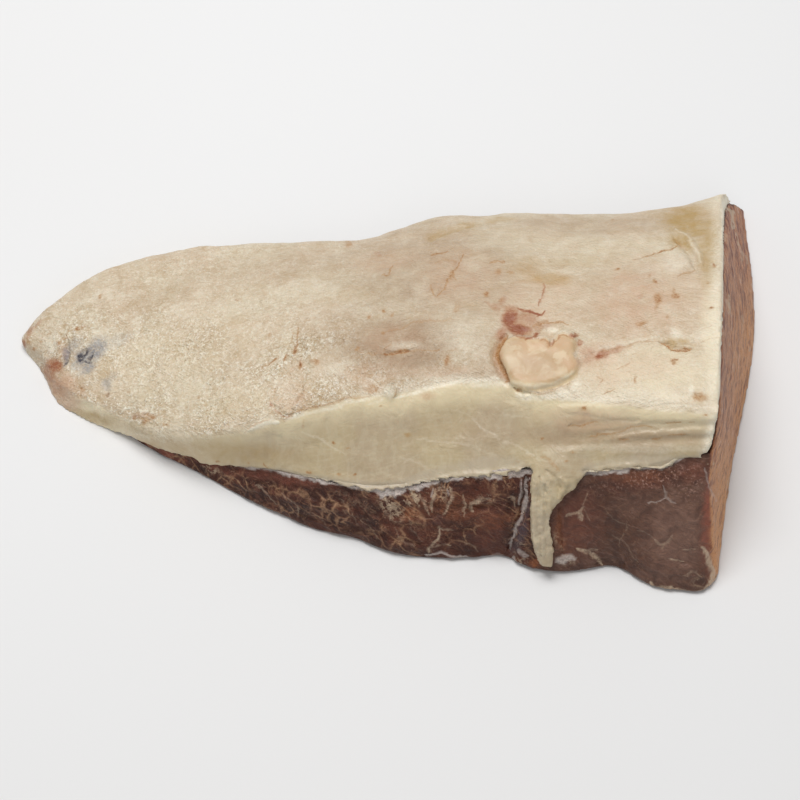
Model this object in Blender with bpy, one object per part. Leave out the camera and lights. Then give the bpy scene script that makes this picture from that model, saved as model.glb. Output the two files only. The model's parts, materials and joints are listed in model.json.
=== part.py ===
"""Raw picanha, a beef rump cap, lying lean side down with its fat cap up.

The tip points to -X, the butcher's straight cut faces +X, and the trimmed long side faces -Y.
Both pieces are lofted through cross-sections, which are worked out from profiles along the cut.
A profile is a few pairs of (distance from the tip, value) in metres, joined by a smooth curve.
"""

import math

import bmesh
import bpy
import numpy as np
from mathutils import noise

# Driving dimensions
LENGTH = 0.281  # tip to the top edge of the straight cut
GAP = 0.0003  # clearance between the fat and the lean
LIP = 0.0008  # how far the fat stands past the lean on the trimmed side
NOSE_START = 0.014  # where the lean begins under the fat of the tip
NOSE_END = 0.062  # where the lean reaches its full width
NOSE_WALL = 0.0012  # the least height of the lean's edge inside the fat
NOSE_WIDTH = 0.12  # share of its full width that the lean has where it begins
TIP_END = (-0.0015, 0.0226, 0.003)  # the outermost place of the fat's tip

# The rounded shoulder where the top turns down to the back
SHOULDER_Y = [
    (0.000, 0.0205), (0.003, 0.028), (0.014, 0.040), (0.029, 0.053), (0.059, 0.0645), (0.111, 0.072),
    (0.135, 0.075), (0.160, 0.087), (0.185, 0.0908), (0.229, 0.0943), (0.257, 0.0982), (0.281, 0.1068),
]
SHOULDER_Z = [(0.000, 0.004), (0.014, 0.009), (0.029, 0.011), (0.059, 0.014), (0.160, 0.020), (0.281, 0.025)]
BACK_FLARE = [(0.000, 0.0005), (0.014, 0.001), (0.060, 0.003), (0.160, 0.003), (0.281, 0.006)]
BACK_SEAM_Z = [(0.060, 0.000), (0.075, 0.002), (0.095, 0.006), (0.130, 0.009), (0.200, 0.010), (0.281, 0.014)]
BACK_TURN = (0.75, 0.55)  # shares of the way out and up at which the back edge is full

# The ridge where the top meets the trimmed side of the fat
RIDGE_Y = [
    (0.000, 0.0195), (0.010, 0.014), (0.017, 0.003), (0.027, -0.005), (0.040, -0.013), (0.062, -0.024),
    (0.085, -0.029), (0.098, -0.0272), (0.122, -0.021), (0.142, -0.015), (0.160, -0.0128), (0.177, -0.0077),
    (0.197, -0.0064), (0.216, -0.0125), (0.232, -0.0136), (0.281, -0.0166),
]
RIDGE_Z = [
    (0.000, 0.004), (0.010, 0.007), (0.027, 0.010), (0.050, 0.013), (0.062, 0.017), (0.085, 0.027),
    (0.122, 0.041), (0.142, 0.045), (0.177, 0.050), (0.216, 0.055), (0.281, 0.061),
]
CROWN_RISE = [(0.000, 0.0015), (0.020, 0.004), (0.100, 0.005), (0.180, 0.004), (0.281, 0.003)]
TOP_SHARES = (0.0, 0.12, 0.3, 0.5, 0.7, 0.88, 1.0)  # where the top is measured, from the ridge to the shoulder
TOP_FALL = 1.75  # how late the top falls away to the shoulder: 1 is straight
SWELLS = (28.0, 34.0, 1.7)  # how many swells per metre, along and across, and which draw
SWELL_HEIGHT = 0.0016
SWELL_START = 0.05  # they have their full height from here on

# The lower edge of the fat on the trimmed side, and the foot of the lean below it
SEAM_Y = [
    (0.000, 0.0195), (0.010, 0.009), (0.017, -0.003), (0.027, -0.0105), (0.040, -0.0145), (0.062, -0.0240),
    (0.085, -0.030), (0.108, -0.035), (0.131, -0.041), (0.155, -0.0445), (0.176, -0.0393), (0.202, -0.0368),
    (0.223, -0.0368), (0.247, -0.0338), (0.265, -0.0316), (0.281, -0.0287),
]
SEAM_Z = [
    (0.040, 0.000), (0.050, 0.002), (0.085, 0.008), (0.108, 0.016), (0.131, 0.022), (0.155, 0.025),
    (0.176, 0.031), (0.202, 0.037), (0.223, 0.038), (0.247, 0.043), (0.281, 0.046),
]
FOOT_Y = [
    (0.040, -0.014), (0.051, -0.019), (0.064, -0.0245), (0.0815, -0.032), (0.098, -0.040), (0.114, -0.046),
    (0.128, -0.0515), (0.142, -0.053), (0.160, -0.0585), (0.194, -0.057), (0.204, -0.055), (0.213, -0.0590),
    (0.229, -0.0598), (0.237, -0.0574), (0.244, -0.0547), (0.249, -0.0560), (0.254, -0.0602), (0.260, -0.0634),
    (0.266, -0.0626), (0.272, -0.0638), (0.276, -0.0630), (0.281, -0.0602),
]
FOOT_START = 0.046  # the lean begins to show under the fat here
FOOT_RUN = 0.016  # and shows in full this much further on
SIDE_DISH = 0.0012  # how hollow the trimmed side of the fat is
SIDE_DISH_START = 0.100  # from here on
SIDE_BULGE = 0.0018  # how full the lean's side is
SIDE_BULGE_HEIGHT = 0.030  # where it is at least this high
SIDE_WAIST = 0.55  # share of the way up at which it is fullest
FOOT_ROUNDING = (0.0010, 0.0015)  # the lean's foot is rounded by this much, inwards and upwards

# The fat's underside, which is the lean's top
FAT_DEPTH = [
    (0.014, 0.007), (0.030, 0.010), (0.060, 0.012), (0.110, 0.014), (0.200, 0.013), (0.250, 0.0105), (0.281, 0.0045),
]
DEPTH_SHARES = (0.16, 0.38, 0.6, 0.8)  # where it is measured, from the ridge to the shoulder
DEPTH_LOSS = 0.25  # share by which it is thinner at the shoulder
BACK_ROOT = (0.002, 0.55)  # the underside's last turn: in from the shoulder, and up from the back edge
BACK_SPREAD = (0.25, 0.45)  # how far the lean's back leans out, halfway down and at its foot

# The straight cut leans out towards its foot, most near the middle
CUT_START = 0.205
CUT_ADVANCE = 0.007
CUT_BULGE = 0.0105
CUT_BULGE_Y = 0.060
CUT_BULGE_WIDTH = 0.060
CUT_BACK_SET = 0.003  # how far the back corner stands behind the front one
CUT_SEAM_SET = 0.0045  # and the lower edge of the fat behind the ridge
CUT_SIDE_DEPTH = 0.0134
CUT_SEAM_HEIGHT = 0.046
CORNER_RADIUS = 0.007  # the rounded upright corner of the lean
CORNER_DEPTH = 0.75  # and its depth as a share of that
CORNER_WAIST = 0.3  # share of it that the lean's waist takes part in

# The lobed flap of fat that is folded flat on the top, as (distance from the tip, y)
FLAP_EDGE = [
    (0.1944, 0.0070), (0.1966, 0.0115), (0.2000, 0.0141), (0.2030, 0.0147), (0.2078, 0.0136), (0.2122, 0.0143),
    (0.2150, 0.0116), (0.2170, 0.0160), (0.2204, 0.0173), (0.2243, 0.0146), (0.2238, 0.0084), (0.2265, 0.0018),
    (0.2245, -0.0029), (0.2205, -0.0060), (0.2132, -0.0094), (0.2050, -0.0097), (0.2012, -0.0078), (0.1970, -0.0004),
]
FLAP_THICKNESS = 0.0024
FLAP_PROFILE = [(0.90, -0.9), (1.0, 0.1), (0.99, 0.6), (0.93, 0.92), (0.7, 1.0)]  # (share of its width, lift)
FLAP_AROUND = 54

# The strip of fat that hangs down the lean: its sides, by the share of the way down to the foot
STRIP_LEFT = [(0.00, 0.2108), (0.39, 0.2118), (0.68, 0.2136), (0.87, 0.2170), (1.00, 0.2200)]
STRIP_RIGHT = [(0.00, 0.2325), (0.10, 0.2306), (0.20, 0.2276), (0.32, 0.2216), (0.68, 0.2234), (1.00, 0.2239)]
STRIP_ROWS = (0.0, 0.12, 0.24, 0.36, 0.55, 0.7, 0.82, 0.9)
STRIP_THICKNESS = 0.0030
STRIP_ROUNDING = 0.8  # share of its thickness that its edges lose
STRIP_CLEARANCE = 0.0010
STRIP_ROOT = (0.012, 0.004)  # how far in and up its root reaches into the fat
STRIP_ROOT_WIDTH = 0.8

# The knob of fat that stands up on the ridge
KNOB_PLACE = (0.1545, -0.0112, 0.0486)
KNOB_RADII = (0.0022, 0.0040, 0.0026)

# How finely the sections are cut
STATIONS_NOSE = 9
NOSE_CROWDING = 1.6  # how much closer they are together at the very tip
STATIONS_BODY = 38
STATIONS_CORNER = 4
ACROSS = 24
INNER = ACROSS - 4
DOWN = 5
STRIP_ACROSS = 6

FAT_COLOUR = (0.62, 0.53, 0.38, 1.0)
LEAN_COLOUR = (0.14, 0.045, 0.03, 1.0)
FAT_ROUGHNESS = 0.45
LEAN_ROUGHNESS = 0.4
SHARP_ANGLE = math.radians(50)
BASE_TOLERANCE = 1e-6


def clear_scene():
    for item in list(bpy.data.objects):
        bpy.data.objects.remove(item)


def clamp(value):
    return min(max(value, 0.0), 1.0)


def along(profile, distance):
    """The profile's value at a distance, on a smooth curve through its pairs."""
    xs = np.array([pair[0] for pair in profile])
    ys = np.array([pair[1] for pair in profile])
    if distance <= xs[0]:
        return float(ys[0])
    if distance >= xs[-1]:
        return float(ys[-1])
    slopes = np.gradient(ys, xs)
    i = int(np.searchsorted(xs, distance)) - 1
    span = xs[i + 1] - xs[i]
    t = (distance - xs[i]) / span
    start = (1 + 2 * t) * (1 - t) ** 2 * ys[i] + t * (1 - t) ** 2 * span * slopes[i]
    end = t * t * (3 - 2 * t) * ys[i + 1] + t * t * (t - 1) * span * slopes[i + 1]
    return float(start + end)


def smooth_curve(points, segments, closed=False):
    """Evenly spaced places along a Catmull-Rom curve through the points."""
    knots = np.array(points, float)
    if closed:
        padded = np.vstack([knots[-1], knots, knots[0], knots[1]])
    else:
        padded = np.vstack([2 * knots[0] - knots[1], knots, 2 * knots[-1] - knots[-2]])
    fine = 12
    dense = [knots[0]]
    for i in range(len(padded) - 3):
        a, b, c, d = padded[i : i + 4]
        for step in range(1, fine + 1):
            t = step / fine
            bend = (2 * a - 5 * b + 4 * c - d) * t * t + (3 * b - a - 3 * c + d) * t**3
            dense.append(0.5 * (2 * b + (c - a) * t + bend))
    dense = np.array(dense)
    run = np.concatenate([[0], np.cumsum(np.linalg.norm(np.diff(dense, axis=0), axis=1))])
    wanted = np.linspace(0, run[-1], segments + 1)
    return np.column_stack([np.interp(wanted, run, dense[:, axis]) for axis in range(dense.shape[1])])


def top_height(distance, share):
    """Height of the fat's top, without its swells: share runs from 0 at the ridge to 1 at the shoulder."""
    fall = max(share, 0.0) ** TOP_FALL
    ridge = along(RIDGE_Z, distance)
    shoulder = along(SHOULDER_Z, distance)
    return ridge + (shoulder - ridge) * fall + 4 * along(CROWN_RISE, distance) * share * (1 - share)


def top_point(distance, share):
    """A place (y, z) on the fat's top, with the slow swells of a real fat cap."""
    ridge = along(RIDGE_Y, distance)
    y = ridge + (along(SHOULDER_Y, distance) - ridge) * share
    swell = noise.noise((distance * SWELLS[0], y * SWELLS[1], SWELLS[2])) * SWELL_HEIGHT
    faded = math.sin(math.pi * clamp(share)) * min(1.0, distance / SWELL_START)
    return y, top_height(distance, share) + swell * faded


def top_over(distance, y):
    """Height of the fat's top over a place of the plan."""
    ridge = along(RIDGE_Y, distance)
    return top_point(distance, (y - ridge) / (along(SHOULDER_Y, distance) - ridge))[1]


def nose_share(distance):
    """0 where the lean begins, rising on an ellipse to 1 where it has its full width."""
    left = clamp((NOSE_END - distance) / (NOSE_END - NOSE_START))
    return math.sqrt(max(0.0, 1 - left * left))


def front_edge(distance):
    """The lower edge of the fat on the trimmed side, as (y, z)."""
    return along(SEAM_Y, distance), max(0.0, along(SEAM_Z, distance))


def back_edge(distance):
    """The lower back edge of the fat, as (y, z)."""
    return along(SHOULDER_Y, distance) + along(BACK_FLARE, distance), max(0.0, along(BACK_SEAM_Z, distance))


def hollow(distance):
    """The fat's underside where it lies on the lean, from front to back."""
    front_y, front_z = front_edge(distance)
    back_y, back_z = back_edge(distance)
    front_y += LIP
    back_y -= LIP
    places = [(front_y, front_z)]
    for share in DEPTH_SHARES:
        y, z = top_point(distance, share)
        depth = along(FAT_DEPTH, distance) * (1 - DEPTH_LOSS * share)
        places.append((y, max(z - depth, 0.0)))
    shoulder_y, shoulder_z = top_point(distance, 1.0)
    places.append((shoulder_y - BACK_ROOT[0], back_z + BACK_ROOT[1] * (shoulder_z - back_z)))
    places.append((back_y, back_z))
    grown = nose_share(distance)
    middle = 0.5 * (front_y + back_y)
    width = NOSE_WIDTH + (1 - NOSE_WIDTH) * grown
    narrowed = [(middle + (y - middle) * width, max(z * grown, NOSE_WALL)) for y, z in places]
    return smooth_curve(narrowed, INNER)


def fat_section(distance):
    """The fat's underside and top, front to back, and its trimmed side, bottom to top."""
    low_front = front_edge(distance)
    low_back = back_edge(distance)
    inner = hollow(distance)
    if distance <= NOSE_START:
        inner[:, 1] = 0.0
    rim_front = (inner[0][0] - 0.5 * LIP, low_front[1])
    rim_back = (inner[-1][0] + 0.5 * LIP, low_back[1])
    under = np.vstack([low_front, rim_front, inner, rim_back, low_back])
    top = [top_point(distance, share) for share in TOP_SHARES]
    shoulder_y, shoulder_z = top[-1]
    swept = shoulder_y + BACK_TURN[0] * (low_back[0] - shoulder_y)
    top.append((swept, low_back[1] + BACK_TURN[1] * (shoulder_z - low_back[1])))
    top.append(low_back)
    crest = smooth_curve(top, ACROSS)
    dish = SIDE_DISH * min(1.0, distance / SIDE_DISH_START)
    middle = (0.5 * (low_front[0] + top[0][0]) + dish, 0.5 * (low_front[1] + top[0][1] - dish))
    side = smooth_curve([low_front, middle, top[0]], DOWN)
    return under, crest, side


def corner_inset(distance):
    """How far the upright corner of the lean has rounded off by this distance."""
    past = clamp((distance - (LENGTH - CORNER_RADIUS)) / CORNER_RADIUS)
    return CORNER_RADIUS * CORNER_DEPTH * (1 - math.sqrt(1 - past * past))


def lean_section(distance):
    """The lean's base, back, top under the fat and trimmed side, front to back or bottom to top."""
    top = hollow(distance)
    top[:, 1] -= GAP
    top[0, 0] += GAP
    top[-1, 0] -= GAP
    inset = corner_inset(distance)
    seam_y, seam_z = top[0]
    back_y, back_z = top[-1]
    opened = clamp((distance - FOOT_START) / FOOT_RUN)
    foot_y = seam_y + min(along(FOOT_Y, distance) - seam_y, 0.0) * opened + inset
    bulge = SIDE_BULGE * min(1.0, seam_z / SIDE_BULGE_HEIGHT)
    waist = (0.5 * (foot_y + seam_y) - bulge + inset * CORNER_WAIST, seam_z * SIDE_WAIST)
    rise = smooth_curve([(foot_y, min(FOOT_ROUNDING[1], 0.3 * seam_z)), waist, (seam_y, seam_z)], DOWN - 1)
    front = np.vstack([(foot_y + min(FOOT_ROUNDING[0], 0.2 * seam_z), 0.0), rise])
    halfway = (back_y + BACK_SPREAD[0] * back_z, 0.5 * back_z)
    back = smooth_curve([(back_y + BACK_SPREAD[1] * back_z, 0.0), halfway, (back_y, back_z)], DOWN)
    base = np.column_stack([np.linspace(front[0][0], back[0][0], INNER + 1), np.zeros(INNER + 1)])
    return base, back, top, front


def stations(first):
    """Distances from the tip of the cross-sections: close together at both ends, even between."""
    nose = {NOSE_END * (i / STATIONS_NOSE) ** NOSE_CROWDING for i in range(1, STATIONS_NOSE)}
    nose = sorted(nose | {NOSE_START, NOSE_START + 0.0015, NOSE_START + 0.005})
    corner = LENGTH - CORNER_RADIUS
    body = np.linspace(NOSE_END, corner, STATIONS_BODY)
    steps = [math.sin(0.5 * math.pi * i / STATIONS_CORNER) for i in range(1, STATIONS_CORNER + 1)]
    turn = [corner + CORNER_RADIUS * step for step in steps]
    return [distance for distance in [*nose, *body, *turn] if distance >= first]


def place(distance, y, z):
    """A section's place in the room: the last stretch leans out to the foot of the straight cut."""
    late = clamp((distance - CUT_START) / (LENGTH - CUT_START))
    ridge, shoulder = along(RIDGE_Y, distance), along(SHOULDER_Y, distance)
    share = clamp((y - ridge) / (shoulder - ridge))
    low = 1 - min(z / top_height(distance, share), 1.0)
    bell = math.exp(-(((y - CUT_BULGE_Y) / CUT_BULGE_WIDTH) ** 2))
    seam_set = CUT_SEAM_SET * clamp((ridge - y) / CUT_SIDE_DEPTH) * clamp(z / CUT_SEAM_HEIGHT)
    advance = (CUT_ADVANCE + CUT_BULGE * bell) * low - CUT_BACK_SET * share - seam_set
    return distance + late * late * advance, y, z


def add_ring(mesh, distance, points):
    return [mesh.verts.new(place(distance, y, z)) for y, z in points]


def skin(mesh, rings, turned=False):
    """Two triangles for each step of each ring to the next; turned picks the other diagonal."""
    for ring, following in zip(rings, rings[1:]):
        for i in range(len(ring)):
            j = (i + 1) % len(ring)
            a, b, c, d = ring[i], ring[j], following[j], following[i]
            if turned:
                a, b, c, d = b, c, d, a
            mesh.faces.new((a, b, c))
            mesh.faces.new((a, c, d))


def close_fan(mesh, ring, middle):
    """Closes a ring with triangles to one middle vertex."""
    for i, vert in enumerate(ring):
        mesh.faces.new((middle, ring[(i + 1) % len(ring)], vert))


def finish_object(mesh, name, colour, roughness):
    """Links a mesh as a named object with its material, its faces pointing out."""
    bmesh.ops.recalc_face_normals(mesh, faces=mesh.faces)
    data = bpy.data.meshes.new(name)
    mesh.to_mesh(data)
    mesh.free()
    material = bpy.data.materials.new(name)
    material.use_nodes = True
    shader = material.node_tree.nodes["Principled BSDF"]
    shader.inputs["Base Color"].default_value = colour
    shader.inputs["Roughness"].default_value = roughness
    shader.inputs["Metallic"].default_value = 0.0
    data.materials.append(material)
    item = bpy.data.objects.new(name, data)
    bpy.context.scene.collection.objects.link(item)
    return item


def smooth_shade(item):
    item.data.shade_smooth()
    item.data.set_sharp_from_angle(angle=SHARP_ANGLE)


def make_fat_layer():
    """The fat layer itself, from the tip to the straight cut."""
    mesh = bmesh.new()
    rings = []
    for distance in stations(0.0):
        under, crest, side = fat_section(distance)
        rings.append(add_ring(mesh, distance, [*under, *crest[::-1][1:], *side[::-1][1:-1]]))
    skin(mesh, rings)
    close_fan(mesh, rings[0], mesh.verts.new(TIP_END))
    close_fat_cut(mesh, rings[-1])
    return finish_object(mesh, "fat_cap", FAT_COLOUR, FAT_ROUGHNESS)


def close_fat_cut(mesh, ring):
    """The cut face of the fat: a ladder between its underside and its top."""
    under = ring[: ACROSS + 1]
    crest = list(reversed(ring[ACROSS : 2 * ACROSS + 1]))
    side = list(reversed(ring[2 * ACROSS + 1 :]))
    mesh.faces.new([under[0], *side, crest[0], crest[1], under[1]])
    for i in range(1, ACROSS - 1):
        mesh.faces.new((under[i], crest[i], crest[i + 1], under[i + 1]))
    mesh.faces.new((under[ACROSS - 1], crest[ACROSS - 1], under[ACROSS]))


def make_flap():
    """The lobed flap: rings of its outline, lifted by a rounded profile over the top."""
    edge = smooth_curve(FLAP_EDGE, FLAP_AROUND, closed=True)[:-1]
    middle = edge.mean(axis=0)
    mesh = bmesh.new()
    rings = []
    for scale, lift in FLAP_PROFILE:
        ring = []
        for distance, y in middle + (edge - middle) * scale:
            ring.append(mesh.verts.new((distance, y, top_over(distance, y) + lift * FLAP_THICKNESS)))
        rings.append(ring)
    skin(mesh, rings)
    height = top_over(*middle)
    close_fan(mesh, rings[0], mesh.verts.new((*middle, height - FLAP_THICKNESS)))
    close_fan(mesh, rings[-1], mesh.verts.new((*middle, height + FLAP_THICKNESS)))
    return finish_object(mesh, "flap", FAT_COLOUR, FAT_ROUGHNESS)


def lean_front(distance, share):
    """A place (y, z) on the trimmed side of the lean and the way out of it, by the share down to the foot."""
    front = lean_section(distance)[3][1:]
    steps = (1 - share) * (DOWN - 1)
    i = min(int(steps), DOWN - 2)
    spot = front[i] + (front[i + 1] - front[i]) * (steps - i)
    run = front[i + 1] - front[i]
    out = np.array([-run[1], run[0]]) / np.linalg.norm(run)
    return spot, out


def strip_ring(mesh, share):
    """One row of the strip: its inner face, left to right, then its rounded outer face, right to left."""
    left, right = along(STRIP_LEFT, share), along(STRIP_RIGHT, share)
    inner, outer = [], []
    for i in range(STRIP_ACROSS + 1):
        across = i / STRIP_ACROSS
        distance = left + (right - left) * across
        spot, out = lean_front(distance, share)
        rounded = STRIP_THICKNESS * (1 - STRIP_ROUNDING * (2 * across - 1) ** 4)
        inner.append((distance, *(spot + out * STRIP_CLEARANCE)))
        outer.append((distance, *(spot + out * (STRIP_CLEARANCE + rounded))))
    return np.array([*inner, *reversed(outer)])


def make_strip():
    """The hanging strip, from its root inside the fat down to the foot of the lean."""
    mesh = bmesh.new()
    rows = [strip_ring(mesh, share) for share in STRIP_ROWS]
    root = rows[0] + np.array([0.0, *STRIP_ROOT])
    middle = root[:, 0].mean()
    root[:, 0] = middle + (root[:, 0] - middle) * STRIP_ROOT_WIDTH
    rings = [[mesh.verts.new(spot) for spot in row] for row in [root, *rows]]
    skin(mesh, rings)
    mesh.faces.new(rings[0])
    mesh.faces.new(rings[-1])
    return finish_object(mesh, "strip", FAT_COLOUR, FAT_ROUGHNESS)


def make_knob():
    """The knob of fat on the ridge."""
    mesh = bmesh.new()
    bmesh.ops.create_icosphere(mesh, subdivisions=2, radius=1.0)
    bmesh.ops.scale(mesh, verts=mesh.verts, vec=KNOB_RADII)
    bmesh.ops.translate(mesh, verts=mesh.verts, vec=KNOB_PLACE)
    return finish_object(mesh, "knob", FAT_COLOUR, FAT_ROUGHNESS)


def join_to(item, additions):
    """Unites the additions with the item, and removes them."""
    for addition in additions:
        union = item.modifiers.new("union", "BOOLEAN")
        union.operation = "UNION"
        union.object = addition
        bpy.context.view_layer.objects.active = item
        bpy.ops.object.modifier_apply(modifier=union.name)
        bpy.data.objects.remove(addition)


def make_lean_meat():
    """The muscle under the fat, flat where it rests."""
    mesh = bmesh.new()
    rings = []
    sections = [(distance, lean_section(distance)) for distance in stations(NOSE_START + 0.001)]
    for distance, (base, back, top, front) in sections:
        rings.append(add_ring(mesh, distance, [*base, *back[1:], *top[::-1][1:], *front[::-1][1:-1]]))
    skin(mesh, rings, turned=True)
    mesh.faces.new(rings[0])
    close_lean_cut(mesh, rings[-1], *sections[-1])
    base_faces = [face for face in mesh.faces if all(vert.co.z < BASE_TOLERANCE for vert in face.verts)]
    bmesh.ops.dissolve_faces(mesh, faces=base_faces)
    return finish_object(mesh, "lean_meat", LEAN_COLOUR, LEAN_ROUGHNESS)


def close_lean_cut(mesh, ring, distance, section):
    """The cut face of the lean: a grid blended from the four sides of the last section."""
    base, back, top, front = section
    grid = {}
    for i in range(INNER + 1):
        grid[i, 0] = ring[i]
        grid[i, DOWN] = ring[2 * INNER + DOWN - i]
    for j in range(1, DOWN):
        grid[INNER, j] = ring[INNER + j]
        grid[0, j] = ring[2 * INNER + 2 * DOWN - j]
    for i in range(1, INNER):
        for j in range(1, DOWN):
            u, v = i / INNER, j / DOWN
            edges = base[i] * (1 - v) + top[i] * v + front[j] * (1 - u) + back[j] * u
            low = base[0] * (1 - u) + base[-1] * u
            high = top[0] * (1 - u) + top[-1] * u
            grid[i, j] = mesh.verts.new(place(distance, *(edges - low * (1 - v) - high * v)))
    for i in range(INNER):
        for j in range(DOWN):
            mesh.faces.new((grid[i, j], grid[i + 1, j], grid[i + 1, j + 1], grid[i, j + 1]))


def centre_on_base(items):
    """Moves the meshes so that the origin is under the middle of the whole cut, on its base."""
    places = np.array([vert.co for item in items for vert in item.data.vertices])
    low, high = places.min(axis=0), places.max(axis=0)
    for item in items:
        for vert in item.data.vertices:
            vert.co.x -= 0.5 * (low[0] + high[0])
            vert.co.y -= 0.5 * (low[1] + high[1])
            vert.co.z -= low[2]


clear_scene()
fat_cap = make_fat_layer()
join_to(fat_cap, [make_flap(), make_strip(), make_knob()])
lean_meat = make_lean_meat()
centre_on_base([fat_cap, lean_meat])
smooth_shade(fat_cap)
smooth_shade(lean_meat)
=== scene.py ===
"""The look of a raw picanha: its granular fat cap, the smooth trimmed side, the marbled lean and the straight cut.

Run it as a script in Blender. The two solids of the frame are copied, remeshed finely, shaped and painted.
Places on the meat are given as they are seen from the front camera, in an 800 by 800 picture.
"""

import json
import math

import bpy
import numpy as np
from bpy.props import FloatProperty, FloatVectorProperty, PointerProperty
from bpy.types import Operator, Panel, PropertyGroup
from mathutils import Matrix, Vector, noise
from mathutils.bvhtree import BVHTree

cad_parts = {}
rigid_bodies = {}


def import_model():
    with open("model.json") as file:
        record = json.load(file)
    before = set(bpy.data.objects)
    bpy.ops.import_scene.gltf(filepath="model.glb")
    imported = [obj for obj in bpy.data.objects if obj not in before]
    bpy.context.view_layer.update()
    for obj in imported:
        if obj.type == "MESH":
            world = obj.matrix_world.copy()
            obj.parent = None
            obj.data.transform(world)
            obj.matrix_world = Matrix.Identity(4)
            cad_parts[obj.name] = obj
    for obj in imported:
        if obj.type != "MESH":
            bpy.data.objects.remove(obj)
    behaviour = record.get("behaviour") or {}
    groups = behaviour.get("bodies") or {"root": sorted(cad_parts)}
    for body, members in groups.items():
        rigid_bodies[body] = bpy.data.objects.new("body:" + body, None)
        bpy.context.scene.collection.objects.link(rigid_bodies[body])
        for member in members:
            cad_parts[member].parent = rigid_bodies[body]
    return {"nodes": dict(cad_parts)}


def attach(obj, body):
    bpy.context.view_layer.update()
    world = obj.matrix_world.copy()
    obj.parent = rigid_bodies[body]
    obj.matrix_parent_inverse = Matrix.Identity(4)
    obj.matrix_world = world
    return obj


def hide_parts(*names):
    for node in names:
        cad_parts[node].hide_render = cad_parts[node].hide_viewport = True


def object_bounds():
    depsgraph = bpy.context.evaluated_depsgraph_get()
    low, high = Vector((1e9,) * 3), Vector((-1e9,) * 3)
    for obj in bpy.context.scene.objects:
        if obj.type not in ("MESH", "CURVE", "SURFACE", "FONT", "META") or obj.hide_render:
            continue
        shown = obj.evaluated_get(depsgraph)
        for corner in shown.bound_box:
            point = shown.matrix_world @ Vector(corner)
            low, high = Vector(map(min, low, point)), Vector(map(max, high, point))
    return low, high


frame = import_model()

bl_info = {
    "name": "Picanha",
    "version": (1, 0, 0),
    "blender": (4, 5, 0),
    "location": "View3D > Sidebar > Meat",
    "description": "Makes the surface of a raw picanha over its plain solids",
    "category": "Object",
}

CAD_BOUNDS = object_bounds()
BOX_LOW = Vector(CAD_BOUNDS[0])

# The camera, placed from the tip and the trimmed side of the meat
CAMERA_AZIMUTH = math.radians(6.0)
CAMERA_ELEVATION = math.radians(60.0)
CAMERA_DISTANCE = 1.3224
CAMERA_LENS = 150.0
CAMERA_SENSOR = 36.0
AIM = np.array([BOX_LOW.x + 0.1585, BOX_LOW.y + 0.0636, 0.020])
PICTURE = 800

# The line where the grained top meets the trimmed side
RIDGE = [
    (100, 432), (160, 437), (209, 438), (246, 430), (268, 419), (285, 422), (306, 411), (357, 397), (396, 394),
    (422, 389), (449, 383), (501, 381), (549, 399), (590, 400), (614, 404), (667, 411), (722, 413),
]

# The outline of the lobed flap
FLAP = [
    (498, 349), (503, 342), (512, 336.5), (521, 335), (530, 338), (537, 339), (545, 338), (550, 342), (551.5, 345),
    (555, 338), (562, 333), (571, 335), (576, 340), (577, 348), (573, 354), (577, 362), (579, 370), (573, 379),
    (562, 385), (549, 389), (536, 391), (523, 390), (513, 386), (509, 379), (504, 370), (499, 362), (497, 354),
]

# The line where the flap turns down at the front
FLAP_FOLD = [(490, 372), (507, 376), (520, 379), (540, 381), (560, 378), (575, 366), (585, 360)]

# The lower edge of the fat on the trimmed side, and how far the smoothed skin is drawn down to it, in pixels
SEAM = [
    (200, 465), (223, 465.5), (250, 468), (267, 471), (292, 476), (309, 479.5), (335, 485.5), (356, 488), (381, 489),
    (402, 488), (423, 485), (442, 480), (463, 476.5), (484, 475), (505, 472), (526, 472), (564, 476.8), (579, 474),
    (600, 471.5), (627, 467), (650, 468.4), (661, 467.6), (669, 464.6), (678, 461),
    (687, 457.5), (703, 456.5),
]
SEAM_SHIFTS = [
    (190, 0), (202, 4), (250, 2.5), (305, 3), (368, 4), (394, 4), (421, 6.5), (452, 8), (495, 10.5), (518, 7), (530, 0),
    (566, 0), (577, 4.5), (600, 6.5), (629, 6.5), (661, 9.5), (669, 6.5), (678, 3), (688, 0.5), (700, 0), (718, 0),
]

# Marks on the fat: spots are (x, y, half width, half height, turn in degrees, strength),
# and strokes are (points, width, strength)
BLOOD_SPOTS = [
    (510, 318, 8, 13, 14, 0.95), (518, 328, 13, 6, 14, 1.0), (526, 320, 12, 8, 0, 0.45), (540, 326, 11, 5, 0, 0.35),
    (502, 304, 4, 9, 20, 0.3), (501, 334, 6, 7, 30, 0.6), (536, 334, 3, 2.4, 0, 0.9), (603, 354, 9, 4.5, -24, 0.85), (615, 349, 10, 3.4, -22, 0.45),
    (592, 357, 14, 5, -10, 0.3), (573, 334, 4.5, 1.5, 12, 1.0), (580.5, 342, 3.4, 3.4, 40, 0.7), (587, 350, 8, 5, 20, 0.35),
    (552, 343, 2, 4, 0, 0.45), (54, 366, 8, 8, 30, 0.9), (49, 372, 5, 8, -20, 0.6), (51, 374, 4, 9, -20, 0.55), (43, 370, 5, 6, 20, 0.35),
    (57, 388, 6, 12, -30, 0.3), (24, 344, 2.5, 4, 0, 0.7), (30, 333, 3, 8, 30, 0.45), (38, 325, 2.4, 6, 50, 0.35),
    (496, 306, 6, 3, 25, 0.35), (581, 418, 16, 8, 10, 0.12), (272, 403, 1.8, 1.8, 0, 0.55), (378, 254, 4, 3, 0, 0.2),
    (640, 297, 4, 3, 0, 0.2), (65, 352, 5, 8, 10, 0.2), (148, 416, 10, 3.5, 10, 0.3), (137, 417, 7, 4, 0, 0.3),
]
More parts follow.
